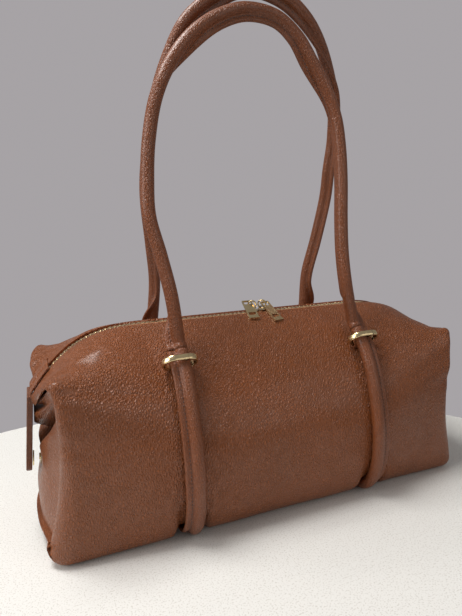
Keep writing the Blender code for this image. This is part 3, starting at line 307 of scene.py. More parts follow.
class Finish:
    """A material under construction."""

    def __init__(self, name, **constants):
        self.material = bpy.data.materials.new(name)
        self.material.use_nodes = True
        self.tree = self.material.node_tree
        self.shader = self.tree.nodes["Principled BSDF"]
        for socket, value in constants.items():
            self.shader.inputs[socket.replace("_", " ")].default_value = value

    def node(self, kind, settings, sockets, output=0):
        """A node of a kind, with its settings made first and then its sockets fed."""
        made = self.tree.nodes.new(kind)
        for name, setting in settings.items():
            setattr(made, name, setting)
        for name, value in sockets.items():
            if isinstance(value, Value):
                self.tree.links.new(value.socket, made.inputs[name])
            else:
                made.inputs[name].default_value = value
        return Value(self, made.outputs[output])

    def coordinates(self, scale=(1.0, 1.0, 1.0), shift=(0.0, 0.0, 0.0)):
        place = self.node("ShaderNodeTexCoord", {}, {}, "Object")
        return self.node("ShaderNodeMapping", {}, {"Vector": place, "Scale": scale, "Location": shift})

    def noise(self, place, scale, detail=2.0, roughness=0.5):
        return self.node("ShaderNodeTexNoise", {}, {"Vector": place, "Scale": scale, "Detail": detail,
                                                   "Roughness": roughness}, "Fac")

    def shifted(self, place, scale, reach):
        """The place, moved about by noise so that a pattern on it is uneven."""
        cloud = self.node("ShaderNodeTexNoise", {}, {"Vector": place, "Scale": scale, "Detail": 1.0},
                          "Color")
        centred = self.node("ShaderNodeVectorMath", {"operation": "SUBTRACT"},
                            {0: cloud, 1: (0.5, 0.5, 0.5)})
        moved = self.node("ShaderNodeVectorMath", {"operation": "SCALE"},
                          {0: centred, "Scale": reach})
        return self.node("ShaderNodeVectorMath", {"operation": "ADD"}, {0: place, 1: moved})

    def cells(self, place, scale):
        """The distance to the nearest edge between cells."""
        return self.node("ShaderNodeTexVoronoi", {"feature": "DISTANCE_TO_EDGE"},
                         {"Vector": place, "Scale": scale, "Randomness": 1.0}, "Distance")

    def stripes(self, place, direction, scale, distortion=0.0, detail=2.0):
        return self.node("ShaderNodeTexWave", {"wave_type": "BANDS", "bands_direction": direction},
                         {"Vector": place, "Scale": scale, "Distortion": distortion,
                          "Detail": detail}, "Fac")

    def mix(self, share, low, high):
        """A colour between two, each a tone or a colour that varies."""
        ends = [(*end, 1.0) if isinstance(end, tuple) else end for end in (low, high)]
        return self.node("ShaderNodeMix", {"data_type": "RGBA"},
                         {"Factor": share, MIX_LOW: ends[0], MIX_HIGH: ends[1]}, MIX_RESULT)

    def bump(self, height, distance, strength=1.0):
        return self.node("ShaderNodeBump", {},
                         {"Height": height, "Distance": distance, "Strength": strength})

    def feed(self, **values):
        for name, value in values.items():
            self.tree.links.new(value.socket, self.shader.inputs[name.replace("_", " ")])
        return self.material


def pebbled_leather(name, tone, grain=1.0, relief=1.0):
    """Full-grain leather with a drawn pebble, taller than it is wide, and glossy on its tops, with
    painted shade in the grooves between the pebbles and a painted highlight on their tops.
    """
    finish = Finish(name, IOR=1.5, Coat_Roughness=0.20, Coat_IOR=1.5, Specular_IOR_Level=0.45)
    place = finish.coordinates(scale=(1.0, 1.0, 0.52))
    uneven = finish.shifted(place, 240.0, 0.0011)
    to_edge = finish.cells(uneven, 600.0 * grain)
    pebbles = to_edge.clamped(0.0, 0.30)
    domes = to_edge.clamped(0.05, 0.50)
    specks = finish.cells(uneven, 1250.0 * grain).clamped(0.0, 0.22)
    drawn = finish.noise(finish.coordinates(scale=(1.0, 1.0, 0.25)), 300.0 * grain, 3.0)
    clouds = finish.noise(finish.coordinates(), 17.0, 3.0)
    patches = finish.noise(finish.coordinates(shift=(3.0, 1.0, 2.0)), 62.0, 2.0)
    height = pebbles * 0.55 + domes * 0.45 + specks * 0.06 + drawn * 0.12
    # Painted shade and highlight: the grooves between the pebbles are coloured darker as shade, and
    # their tops lighter as a painted highlight
    surface = finish.mix(pebbles * 0.70 + specks * 0.30, shaded(tone, 0.62), shaded(tone, 1.12))
    tinted = finish.mix(clouds.clamped(0.30, 0.72), shaded(tone, 0.80, 0.74, 0.70),
                        shaded(tone, 1.14, 1.02, 0.90))
    colour = finish.mix(0.30, surface, tinted)
    rough = 0.43 - domes * 0.12 + patches * 0.10
    coat = 0.20 + patches.clamped(0.35, 0.75) * 0.16
    return finish.feed(Base_Color=colour, Roughness=rough, Coat_Weight=coat,
                       Normal=finish.bump(height, 0.00085 * relief, 1.0))


def woven_tape(name, tone):
    """Zip tape: fine ribs across the tape and a herringbone along it."""
    finish = Finish(name, Sheen_Weight=0.25, Sheen_Roughness=0.5, IOR=1.45)
    place = finish.node("ShaderNodeUVMap", {"uv_map": "cloth"}, {}, "UV")
    ribs = finish.stripes(place, "X", 480.0, 0.6, 1.0)
    rows = finish.stripes(place, "DIAGONAL", 330.0, 0.3, 1.0)
    weave = ribs * 0.6 + rows * 0.4
    worn = finish.noise(finish.coordinates(), 120.0, 3.0)
    colour = finish.mix(weave * 0.8 + worn * 0.2, shaded(tone, 0.55), tone)
    return finish.feed(Base_Color=colour, Roughness=0.74 + worn * 0.12,
                       Normal=finish.bump(weave, 0.00012))


def lining_cloth(name, tone):
    """Plain dark cloth with a fine warp and weft, a little worn."""
    finish = Finish(name, Sheen_Weight=0.2, IOR=1.45)
    place = finish.coordinates()
    warp = finish.stripes(place, "X", 620.0, 0.5)
    weft = finish.stripes(place, "Z", 620.0, 0.5)
    worn = finish.noise(place, 40.0, 3.0)
    weave = warp * 0.5 + weft * 0.5
    colour = finish.mix(weave * 0.6 + worn * 0.4, shaded(tone, 0.5), tone)
    return finish.feed(Base_Color=colour, Roughness=0.80 + worn * 0.1,
                       Normal=finish.bump(weave, 0.0001))


def pale_gold(name, tone, scratch=1.0):
    """Plated metal with fine scratches and small dull patches."""
    finish = Finish(name, Metallic=1.0)
    place = finish.coordinates()
    patches = finish.noise(place, 160.0, 3.0)
    lines = finish.noise(finish.coordinates(scale=(1.0, 9.0, 1.0)), 900.0, 2.0)
    colour = finish.mix(patches.clamped(0.35, 0.75), shaded(tone, 0.88), tone)
    return finish.feed(Base_Color=colour, Roughness=0.13 + patches * 0.12 * scratch + lines * 0.06,
                       Normal=finish.bump(lines, 0.00003, 0.35 * scratch))


def sewing_thread(name, tone):
    """Thread with its strands twisted round each other."""
    finish = Finish(name, Sheen_Weight=0.3, IOR=1.5)
    twist = finish.stripes(finish.coordinates(), "DIAGONAL", 1400.0)
    colour = finish.mix(twist, shaded(tone, 0.6), tone)
    return finish.feed(Base_Color=colour, Roughness=0.55 + twist * 0.1,
                       Normal=finish.bump(twist, 0.00008))


def grey_board(name):
    """Pressed board with long fibres."""
    finish = Finish(name)
    fibres = finish.noise(finish.coordinates(scale=(1.0, 2.0, 1.0)), 420.0, 4.0)
    colour = finish.mix(fibres, (0.15, 0.14, 0.13), (0.27, 0.25, 0.22))
    return finish.feed(Base_Color=colour, Roughness=0.85 + fibres * 0.1,
                       Normal=finish.bump(fibres, 0.0001))


BODY_LEATHER = pebbled_leather("pebbled_leather", (0.250, 0.068, 0.0120))
HANDLE_LEATHER = pebbled_leather("handle_leather", (0.205, 0.057, 0.0140), grain=1.2, relief=0.5)
SMOOTH_LEATHER = pebbled_leather("tab_leather", (0.190, 0.058, 0.0180), grain=1.4, relief=0.4)
TAPE_CLOTH = woven_tape("zip_tape", (0.50, 0.215, 0.085))
LINING_CLOTH = lining_cloth("lining_cloth", (0.050, 0.032, 0.024))
GOLD = pale_gold("pale_gold", (0.83, 0.66, 0.38))
TOOTH_GOLD = pale_gold("tooth_gold", (0.80, 0.60, 0.33), 2.0)
THREAD = sewing_thread("thread", (0.060, 0.018, 0.008))
BOARD = grey_board("board")


# Shapes of the body
def lerp(low, high, share):
    return low + (high - low) * share


def share_between(value, low, high):
    return min(max((value - low) / (high - low), 0.0), 1.0)


def eased(value, low, high):
    """0 below low and 1 above high, with a smooth step between them."""
    share = share_between(value, low, high)
    return share * share * (3.0 - 2.0 * share)


def swelling(value, low, high):
    """An arch from 0 at low through 1 to 0 at high."""
    return math.sin(math.pi * share_between(value, low, high))


def plateau(value, rise, fall):
    """Rises from 0 to 1 over the first span and falls back to 0 over the second."""
    return eased(value, *rise) * (1.0 - eased(value, *fall))


def read_smooth(rows, position):
    """The value of a table between its rows, on a smooth curve through them."""
    index = min(max(int(math.floor(position)), 0), len(rows) - 2)
    share = position - index
    before = rows[max(index - 1, 0)]
    start, end = rows[index], rows[index + 1]
    after = rows[min(index + 2, len(rows) - 1)]
    values = []
    for a, b, c, d in zip(before, start, end, after):
        values.append((2 * share ** 3 - 3 * share ** 2 + 1) * b
                      + (share ** 3 - 2 * share ** 2 + share) * (c - a) / 2.0
                      + (3 * share ** 2 - 2 * share ** 3) * c
                      + (share ** 3 - share ** 2) * (d - b) / 2.0)
    return values


@functools.lru_cache(maxsize=None)
def middle_shares(step):
    return read_smooth(MIDDLE_SHARES, step)


@functools.lru_cache(maxsize=None)
def end_shares(step):
    return read_smooth(END_SHARES, step)


@functools.lru_cache(maxsize=None)
def edge_radius(step):
    """Radius of a panel's turn in round the end: tight on the ear and soft below it."""
    return lerp(EAR_EDGE_RADIUS, END_EDGE_RADIUS, eased(step, *SOFT_EDGE_STEPS))


@functools.lru_cache(maxsize=None)
def panel_reach(step):
    """How far a panel runs along the bag before it turns in round the end."""
    return end_shares(step)[2] * HALF_LENGTH - edge_radius(step)


def sag(along, step):
    """How far the leather hangs down below the level of the straps' dents in it."""
    beside_strap = abs(abs(along) * panel_reach(step) - STRAP_X - FLANGE_WIDTH / 2)
    hanging = BASE_SAG * eased(beside_strap, STRAP_DENT_START, STRAP_DENT_END)
    return hanging * eased(step, *SAG_STEPS)


def skin(side, along, step):
    """A point of the body's outer surface, with side -1 at the front and 1 at the rear.

    along runs from -1 to 1 between the ends, and step from 0 at the zip to LAST_STEP at the
    seam under the base."""
    middle_depth, middle_height = middle_shares(step)
    end_depth, end_height, _ = end_shares(step)
    crown = 1.0 - eased(step, *CROWN_STEPS)
    start = lerp(SQUARING_START_SHARE, ZIP_DIP_START_SHARE, crown)
    power = lerp(SQUARING_POWER, ZIP_DIP_POWER, crown)
    squared = max((abs(along) - start) / (1.0 - start), 0.0) ** power
    depth = lerp(middle_depth * BELLY_DEPTH / 2, end_depth * END_DEPTH / 2, squared)
    height = lerp(middle_height * CROWN_HEIGHT, end_height * EAR_HEIGHT, squared)
    shoulder = SHOULDER_RISE * swelling(abs(along), SHOULDER_START_SHARE, 1.0)
    height += shoulder * swelling(step, *SHOULDER_STEPS)
    height += side * REAR_CREST * (1.0 - eased(step, *CREST_STEPS))
    height -= sag(along, step)
    reach = panel_reach(step)
    if side > 0:
        reach += REAR_EAR_REACH * swelling(step, *REAR_EAR_STEPS)
    return Vector((along * reach, side * depth, BASE_LIFT + height))


def skin_frame(side, along, step):
    """The outward normal of the skin, and its direction towards the nearer end."""
    nudge = 0.01
    towards = 1.0 if along >= 0 else -1.0
    lengthwise = skin(side, along, step) - skin(side, along - towards * nudge, step)
    low = max(step - nudge, 0.0)
    high = min(step + nudge, LAST_STEP)
    downwards = skin(side, along, high) - skin(side, along, low)
    normal = downwards.cross(lengthwise) * -side * towards
    return normal.normalized(), lengthwise.normalized()


def zip_edge(along, depth):
    """A point over the zip, at a distance across it from the middle."""
    edge = (skin(-1, along, 0.0) + skin(1, along, 0.0)) / 2
    return Vector((edge.x, depth, edge.z))


def rolled_skin(side, along, angle, step, inset=0.0):
    """The skin, with its edge rolled inwards round the end by the angle."""
    normal, outward = skin_frame(side, along, step)
    radius = edge_radius(step) - inset
    point = skin(side, along, step)
    point += outward * radius * math.sin(angle)
    point -= normal * radius * (1.0 - math.cos(angle))
    return point - normal * inset


def level_skin(side, along, step, inset=0.0):
    """The skin at an inset, without its sag, for what lies inside the bag."""
    return rolled_skin(side, along, 0.0, step, inset) + Vector((0, 0, sag(along, step)))


def slack(side, along, step):
    """How far the soft leather stands off the smooth form: slow waves, lines drawn towards the
    ends, puckers along an ear's edge, and a slight dent where something holds it still."""
    point = skin(side, along, step)
    waves = WAVE_HEIGHT * noise.noise(point * WAVE_REPEAT)
    waves += RIPPLE_HEIGHT * noise.noise(point * RIPPLE_REPEAT + RIPPLE_SHIFT)
    to_edge = (1.0 - abs(along)) * HALF_LENGTH
    phase = step * PUCKER_REPEAT * math.pi + PUCKER_SWAY * noise.noise(point * PUCKER_SWAY_REPEAT)
    puckers = PUCKER_HEIGHT * math.sin(phase) * math.exp(-to_edge / PUCKER_REACH)
    puckers *= plateau(step, *PUCKER_STEPS)
    phase = step * DRAWN_REPEAT * math.pi + DRAWN_SLANT * along
    drawn = DRAWN_HEIGHT * math.sin(phase) * math.exp(-to_edge / DRAWN_REACH)
    drawn *= plateau(step, *DRAWN_STEPS)
    free = eased(abs(abs(point.x) - STRAP_X - FLANGE_WIDTH / 2), *STRAP_HOLD)
    if side < 0:
        beside_pulls = eased(abs(point.x - PULLS_X), *PULLS_HOLD)
        free = min(free, max(beside_pulls, eased(step, *PULLS_HOLD_STEPS)))
    free *= eased(step, *ZIP_HOLD_STEPS)
    free *= 1.0 - BASE_HOLD * eased(step, *BASE_HOLD_STEPS)
    dent = HELD_DENT * (1.0 - free) * eased(step, *HELD_DENT_STEPS)
    return (waves + drawn) * free + puckers - dent


def shaped_grid(columns, rows, place, closed=False, uv_size=None):
    """A grid of faces whose every point is put where place says, from 0 to 1 each way."""
    shape = bmesh.new()
    layer = shape.loops.layers.uv.new("cloth")
    bmesh.ops.create_grid(shape, x_segments=columns, y_segments=rows, size=0.5, calc_uvs=True)
    if uv_size is not None:
        for face in shape.faces:
            for loop in face.loops:
                u, v = loop.vert.co.x + 0.5, loop.vert.co.y + 0.5
                loop[layer].uv = (u * uv_size[0], v * uv_size[1])
    for vertex in shape.verts:
        vertex.co = place(vertex.co.x + 0.5, vertex.co.y + 0.5)
    if closed:
        bmesh.ops.remove_doubles(shape, verts=shape.verts, dist=0.00002)
    return shape


def finished(name, shape, material, body="body", replaces=(), smooth=True):
    """A finished piece from a shape, riding on its body."""
    mesh = bpy.data.meshes.new(name)
    shape.to_mesh(mesh)
    shape.free()
    if smooth:
        mesh.shade_smooth()
    mesh.materials.append(material)
    piece = bpy.data.objects.new(name, mesh)
    bpy.context.scene.collection.objects.link(piece)
    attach(piece, body)
    if replaces:
        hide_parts(*replaces)
    return piece


def sheet(name, shape, material, node, thickness, round_edge=0.0):
    """A sheet that takes a node's place, with its face outwards and its thickness inside."""
    facing = sum((face.calc_center_median() - BODY_CENTRE).dot(face.normal) * face.calc_area()
                 for face in shape.faces)
    if facing < 0:
        bmesh.ops.reverse_faces(shape, faces=shape.faces)
    piece = finished(name, shape, material, replaces=[node])
    wall = piece.modifiers.new("wall", "SOLIDIFY")
    wall.thickness = thickness
    wall.offset = -1.0
    if round_edge:
        bevel = piece.modifiers.new("turned edge", "BEVEL")
        bevel.width = round_edge
        bevel.segments = 3
        bevel.limit_method = "ANGLE"
        bevel.angle_limit = math.radians(50.0)


def leather_sheet(name, shape, node, thickness=LEATHER, round_edge=0.0):
    sheet(name, shape, BODY_LEATHER, node, thickness, round_edge)


def rolled_share(u):
    """The share along the bag and the angle rolled in round its end, from 0 to 1 across both."""
    across = (u * 2.0 - 1.0) * (1.0 + ROLL_SHARE)
    along = max(-1.0, min(1.0, across))
    return along, (abs(across) - abs(along)) / ROLL_SHARE * QUARTER_TURN


def body_panel(name, side):
    last = LAST_STEP - SEAM_GAP / BELLY_DEPTH

    def place(u, v):
        along, angle = rolled_share(u)
        step = lerp(0.0, last, v)
        stand_off = skin_frame(side, along, step)[0] * slack(side, along, step) * math.cos(angle)
        return rolled_skin(side, along, angle, step) + stand_off
    leather_sheet(name, shaped_grid(columns=230, rows=96, place=place),
                  name.replace("_leather", "_panel"), round_edge=0.0006)


def base_leather():
    def place(u, v):
        along, angle = rolled_share(u)
        front = rolled_skin(-1, along, angle, LAST_STEP)
        rear = rolled_skin(1, along, angle, LAST_STEP)
        margin = SEAM_GAP / (rear - front).length
        return front.lerp(rear, lerp(margin, 1.0 - margin, v))
    leather_sheet("base_leather", shaped_grid(columns=160, rows=24, place=place), "base_panel")


@functools.lru_cache(maxsize=None)
def end_edge(hand, step):
    """A point just inside the front panel's turned-in edge, where the end panel is sewn on."""
    gap = lerp(EAR_SEAM, END_SEAM, eased(step, *EAR_SEAM_STEPS))
    return rolled_skin(-1, hand, QUARTER_TURN, step) - skin_frame(-1, hand, step)[0] * gap


def fold_in(across, height, top):
    """How far the end panel is pushed in at a height, in the fold that rises from behind the tab
    to both ears."""
    middle = lerp(FOLD_HEIGHT, FOLD_HEIGHT_AT_EAR, abs(across))
    half = lerp(FOLD_HALF_HEIGHT, FOLD_HALF_HEIGHT_AT_EAR, abs(across))
    away = min(abs(height - middle) / half, 1.0)
    depth = FOLD_DEPTH * (1.0 - across ** 4) * (1.0 - away ** 2) ** 2
    return depth * eased(top - height, FOLD_LIP, FOLD_FULL)


def tab_top():
    """The middle of the right tab's top edge, under the end of the zip's cover."""
    end = zip_edge(1.0, 0.0)
    return Vector((end.x + 2 * FIT_GAP + TAB_THICKNESS / 2, 0.0, end.z - FIT_GAP))


def end_place(hand):
    """Places the points of an end panel: it bulges out below, folds in above behind the ears, and
    comes forward again to hang behind the tab."""
    lowest = skin(-1, hand, LAST_STEP).z + edge_radius(LAST_STEP) + END_SEAM
    count = 24
    top_edge = [end_edge(hand, EAR_TIP_STEP * index / count) for index in range(count + 1)]
    tip = top_edge[-1]

    def top_at(across):
        if abs(across) <= top_edge[0].y / tip.y:
            return top_edge[0]
        for start, end in zip(top_edge, top_edge[1:]):
            if abs(across) <= end.y / tip.y:
                return start.lerp(end, (abs(across) * tip.y - start.y) / (end.y - start.y))
        return tip

    tab = tab_top()
    snap_z = tab.z - SNAP_DROP

    def place(u, v):
        across = lerp(-1.0, 1.0, u)
        edge = end_edge(hand, lerp(END_CORNER_STEP, EAR_TIP_STEP, v))
        top = top_at(across)
        z = lerp(lowest, top.z, max((edge.z - lowest) / (tip.z - lowest), 0.0))
        y = -edge.y * across
        fullness = (1.0 - across ** 2) ** BULGE_POWER
        fullness *= swelling(z, 0.0, EAR_HEIGHT * BULGE_HEIGHT_SHARE)
        x = abs(edge.x) + (abs(top.x) - abs(tip.x)) * eased(v, *FLAP_SHARES) + END_BULGE * fullness
        beside_snap = 1.0 - math.exp(-(y ** 2 + (z - snap_z) ** 2) / SNAP_DENT ** 2)
        x += EXTRA_BULGE * swelling(z, *EXTRA_BULGE_HEIGHTS) * (1.0 - across ** 2) * beside_snap
        behind_tab = tab.x - TAB_THICKNESS / 2 - TAB_CLEARANCE + (tab.z - z) * math.tan(TAB_LEAN)
        to_side = 0.0 if abs(across) < BEHIND_TAB_SHARE else abs(across)
        fold = lerp(FOLD_HEIGHT, FOLD_HEIGHT_AT_EAR, abs(across))
        flap = plateau(z, (fold, fold + FLAP_RISE), (top.z - FLAP_LIP, top.z))
        x = lerp(x, max(lerp(behind_tab, x, to_side), x), flap)
        x -= fold_in(across, z, top.z)
        point = Vector((hand * x, y, z))
        crease = CREASE_HEIGHT * noise.noise(point * CREASE_REPEAT) * (1.0 - across ** 2)
        return point + Vector((hand * crease, 0.0, 0.0))
    return place


def end_leather(name, hand):
    leather_sheet(name, shaped_grid(columns=72, rows=110, place=end_place(hand)),
                  name.replace("_leather", "_panel"))


def lining_place(u, v):
    """Down the front of the lining, under its middle and up its rear."""
    along = lerp(-LINING_WRAP_SHARE, LINING_WRAP_SHARE, u)
    side = -1 if v < 0.5 else 1
    share = v * 2 if v < 0.5 else 2 - v * 2
    step = lerp(LINING_START_STEP, LAST_STEP, share)
    return level_skin(side, along, step, LEATHER + LINING_GAP)


def end_lining_place(hand):
    inset = LEATHER + LINING_GAP + 2 * LINING + FIT_GAP

    def place(u, v):
        step = lerp(LINING_WALL_STEP, LAST_STEP, v)
        front = level_skin(-1, hand * END_LINING_SHARE, step, inset)
        return front.lerp(level_skin(1, hand * END_LINING_SHARE, step, inset), u)
    return place


def cloth_sheet(name, shape, node):
    sheet(name, shape, LINING_CLOTH, node, LINING)


def lining_pieces():
    cloth_sheet("lining_wrap", shaped_grid(columns=60, rows=48, place=lining_place), "lining")
    for name, hand in (("left", -1), ("right", 1)):
        shape = shaped_grid(columns=16, rows=24, place=end_lining_place(hand))
        cloth_sheet(name + "_end_cloth", shape, name + "_end_lining")


# Zip
def zip_frame(along):
    """The middle of the zip in the plane of its tape, its direction and its upward normal."""
    nudge = 0.004
    ahead = zip_edge(min(along + nudge, 1.0), 0.0)
    behind = zip_edge(max(along - nudge, -1.0), 0.0)
    direction = (ahead - behind).normalized()
    normal = Vector((-direction.z, 0.0, direction.x))
    return zip_edge(along, 0.0) - normal * ZIP_SUNK, direction, normal


def zip_table():
    """Pairs of the distance along the zip from its middle and the share along the bag."""
    count = 200
    pairs = [(0.0, 0.0)]
    for index in range(count):
        start, end = zip_frame(index / count)[0], zip_frame((index + 1) / count)[0]
        pairs.append((pairs[-1][0] + (end - start).length, (index + 1) / count))
    return pairs


ZIP_TABLE = zip_table()


def zip_share_at(distance):
    """The share along the bag at a distance along the zip from its middle."""
    for (low, low_share), (high, high_share) in zip(ZIP_TABLE, ZIP_TABLE[1:]):
        if high >= abs(distance):
            share = lerp(low_share, high_share, (abs(distance) - low) / (high - low))
            return math.copysign(share, distance)
    return math.copysign(1.0, distance)


def zip_tape(name, side):
    """One half of the tape: level beside its teeth, then down to the panel and on under it."""
    inset = LEATHER + TAPE_GAP

    def place(u, v):
        along = lerp(-ZIP_TAPE_SHARE, ZIP_TAPE_SHARE, u)
        middle, _, normal = zip_frame(along)
        inner = middle + normal * TAPE_THICKNESS / 2
        inner.y = side * (TOOTH_TAIL + TOOTH_GAP)
        flat = inner + Vector((0, side * TAPE_FLAT, 0))
        if v < TAPE_FLAT_SHARE:
            return inner.lerp(flat, v / TAPE_FLAT_SHARE)
        if v < TAPE_SLOPE_SHARE:
            share = (v - TAPE_FLAT_SHARE) / (TAPE_SLOPE_SHARE - TAPE_FLAT_SHARE)
            return flat.lerp(rolled_skin(side, along, 0.0, 0.0, inset), share)
        step = TAPE_STEP * (v - TAPE_SLOPE_SHARE) / (1.0 - TAPE_SLOPE_SHARE)
        return rolled_skin(side, along, 0.0, step, inset)
    shape = shaped_grid(columns=180, rows=8, place=place, uv_size=(TEETH_LENGTH, TAPE_WIDTH))
    sheet(name, shape, TAPE_CLOTH, "zip_tape_" + name.split("_")[0], TAPE_THICKNESS)


def extruded(shape, faces, reach):
    grown = bmesh.ops.extrude_face_region(shape, geom=faces)
    moved = [item for item in grown["geom"] if isinstance(item, bmesh.types.BMVert)]
    bmesh.ops.translate(shape, verts=moved, vec=reach)


def zip_teeth(name, side):
    """One row of cast teeth, each with a nose, a waist and a foot round the tape's cord."""
    shape = bmesh.new()
    half_count = int(TEETH_LENGTH / 2 / TOOTH_PITCH)
    offset = TOOTH_PITCH / 2 if side > 0 else 0.0
    corners = TOOTH_OUTLINE + [(out, -width) for out, width in reversed(TOOTH_OUTLINE)]
    for index in range(-half_count, half_count + (0 if side > 0 else 1)):
        middle, direction, normal = zip_frame(zip_share_at(index * TOOTH_PITCH + offset))
        rim = [shape.verts.new(middle + Vector((0, side * out, 0)) + direction * width * TOOTH_PITCH
                               - normal * TOOTH_HEIGHT / 2) for out, width in corners]
        extruded(shape, [shape.faces.new(rim)], normal * TOOTH_HEIGHT)
    bmesh.ops.recalc_face_normals(shape, faces=shape.faces)
    sharp = [edge for edge in shape.edges if len(edge.link_faces) == 2
             and edge.calc_face_angle(0.0) > math.radians(60.0)]
    bmesh.ops.bevel(shape, geom=sharp, offset=TOOTH_BEVEL, segments=1, profile=0.5, affect="EDGES",
                    material=-1)
    finished(name, shape, TOOTH_GOLD, replaces=["zip_teeth_" + name.split("_")[0]],
             smooth=False)


def zip_cover(name, hand):
    """The leather patch over the end of the zip."""
    def place(u, v):
        along = hand * lerp(COVER_START_SHARE, 1.0, u)
        depth = lerp(-COVER_WIDTH / 2, COVER_WIDTH / 2, v)
        side = 1 if depth > 0 else -1
        points = [skin(side, along, row * COVER_ROW_STEP) for row in range(COVER_ROWS + 1)]
        for start, end in zip(points, points[1:]):
            if abs(end.y) >= abs(depth):
                break
        share = max((abs(depth) - abs(start.y)) / (abs(end.y) - abs(start.y)), 0.0)
        found = start.lerp(end, share)
        normal = zip_frame(along)[2]
        return Vector((found.x, depth, found.z)) + normal * (COVER_THICKNESS + 2 * FIT_GAP)
    leather_sheet(name, shaped_grid(columns=20, rows=24, place=place),
                  name.replace("patch", "cover"), COVER_THICKNESS, round_edge=0.0004)


# Rolled handles and straps
def strap_offset(step):
    """How far the strap's middle stands off the skin: close below, and clear of the ring's
    leather loop above."""
    close = TUBE_RADIUS + STRAP_GAP
    return lerp(RING_STANDOFF, close, eased(step, RING_STEP, STRAP_CLOSE_STEP))


def strap_along(step):
    return STRAP_X / panel_reach(step)


def beside_skin(side, step, distance):
    """A point off the skin at the strap, in the strap's own plane."""
    normal = skin_frame(side, strap_along(step), step)[0]
    flat = Vector((0.0, normal.y, normal.z)).normalized()
    point = skin(side, strap_along(step), step)
    return Vector((0.0, point.y, point.z)) + flat * distance


def ring_frame(side):
    """The middle of a handle ring, the direction of the tube through it and the outward one."""
    middle = beside_skin(side, RING_STEP, strap_offset(RING_STEP))
    below = beside_skin(side, RING_STEP + 0.1, strap_offset(RING_STEP + 0.1))
    upward = (middle - below).normalized()
    outward = Vector((0.0, -upward.z, upward.y)) * -side
    return middle, upward, outward.normalized()


def smooth_path(points, spacing):
    """Points at an even spacing along a smooth curve through the given ones."""
    rows = [tuple(point) for point in points]
    fine = [Vector(read_smooth(rows, index / FINE_POINTS))
            for index in range((len(rows) - 1) * FINE_POINTS + 1)]
    distances = [0.0]
    for start, end in zip(fine, fine[1:]):
        distances.append(distances[-1] + (end - start).length)
    count = max(round(distances[-1] / spacing), 2)
    path = []
    index = 0
    for step in range(count + 1):
        wanted = distances[-1] * step / count
        while index < len(fine) - 2 and distances[index + 1] < wanted:
            index += 1
        span = distances[index + 1] - distances[index]
        path.append(fine[index].lerp(fine[index + 1], (wanted - distances[index]) / span))
    return path


def rolled_section():
    """A round tube whose two edges are sewn into a flat flange with a rounded rim, as pairs
    along the flange's direction and across it."""
    half = FLANGE_THICKNESS / 2
    opening = math.asin(half / TUBE_RADIUS)
    points = [(math.cos(angle) * TUBE_RADIUS, math.sin(angle) * TUBE_RADIUS)
              for angle in (lerp(opening, 2 * math.pi - opening, index / TUBE_SIDES)
                            for index in range(TUBE_SIDES + 1))]
    waist = TUBE_RADIUS * math.cos(opening)
    reach = TUBE_RADIUS + FLANGE_WIDTH - half
    lower = [(lerp(waist, reach, share), -half * lerp(FLANGE_PINCH, 1.0, share))
             for share in FLANGE_POINTS]
    rim = [(reach + half * math.cos(angle), half * math.sin(angle)) for angle in RIM_ANGLES]
    upper = [(out, -over) for out, over in reversed(lower)]
    return points + lower + rim + upper


def path_frames(path, end_ways, ways):
    """The place, tangent, flange direction and direction across, at each point of a path."""
    frames = []
    for index, point in enumerate(path):
        tangent = (path[min(index + 1, len(path) - 1)] - path[max(index - 1, 0)]).normalized()
        if index == 0:
            tangent = end_ways[0]
        if index == len(path) - 1:
            tangent = end_ways[1]
        way = (ways[index] - tangent * ways[index].dot(tangent)).normalized()
        frames.append((point, tangent, way, tangent.cross(way)))
    return frames


def rolled_shape(frames):
    """The rolled section swept along a path's frames and closed at both ends."""
    section = rolled_section()
    around = len(section)

    def place(u, v):
        point, _, way, across = frames[round(u * (len(frames) - 1))]
        out, over = section[round(v * around) % around]
        return point + way * out + across * over
    shape = shaped_grid(columns=len(frames) - 1, rows=around, place=place, closed=True)
    bmesh.ops.holes_fill(shape, edges=[edge for edge in shape.edges if edge.is_boundary], sides=60)
    bmesh.ops.recalc_face_normals(shape, faces=shape.faces)
    return shape


def stitches(name, frames, body, skip):
    """A row of thread stitches along a path, on both faces of its flange, with a few frames left
    bare at each end."""
    shape = bmesh.new()
    spacing = (frames[1][0] - frames[0][0]).length
    per_stitch = STITCH_PITCH / spacing
    count = int((len(frames) - 1 - 2 * skip) / per_stitch)
    for number in range(count):
        position = skip + (number + 0.5) * per_stitch
        index = int(position)
        share = position - index
        point, tangent, way, across = frames[index]
        point = point.lerp(frames[min(index + 1, len(frames) - 1)][0], share)
        for face in (-1, 1):
            middle = point + way * STITCH_LINE + across * STITCH_HEIGHT * face
            turned = Matrix((tangent, way, across)).transposed().to_4x4()
            size = Matrix.Diagonal((STITCH_LENGTH / 2, THREAD_RADIUS,
                                    THREAD_RADIUS * THREAD_FLATNESS, 1.0))
            bmesh.ops.create_uvsphere(shape, u_segments=6, v_segments=4, radius=1.0,
                                      matrix=Matrix.Translation(middle) @ turned @ size)
    finished(name, shape, THREAD, body=body)


def rolled_leather(name, frames, body, skip):
    """A length of rolled leather with its stitches, in place of the node of its plain name."""
    shape = rolled_shape(frames)
    for vertex in shape.verts:
        vertex.co.z = max(vertex.co.z, 0.0)
    node = name.replace("rolled_", "")
    finished(name, shape, HANDLE_LEATHER, body=body, replaces=[node])
    stitches(name + "_stitches", frames, body, skip)


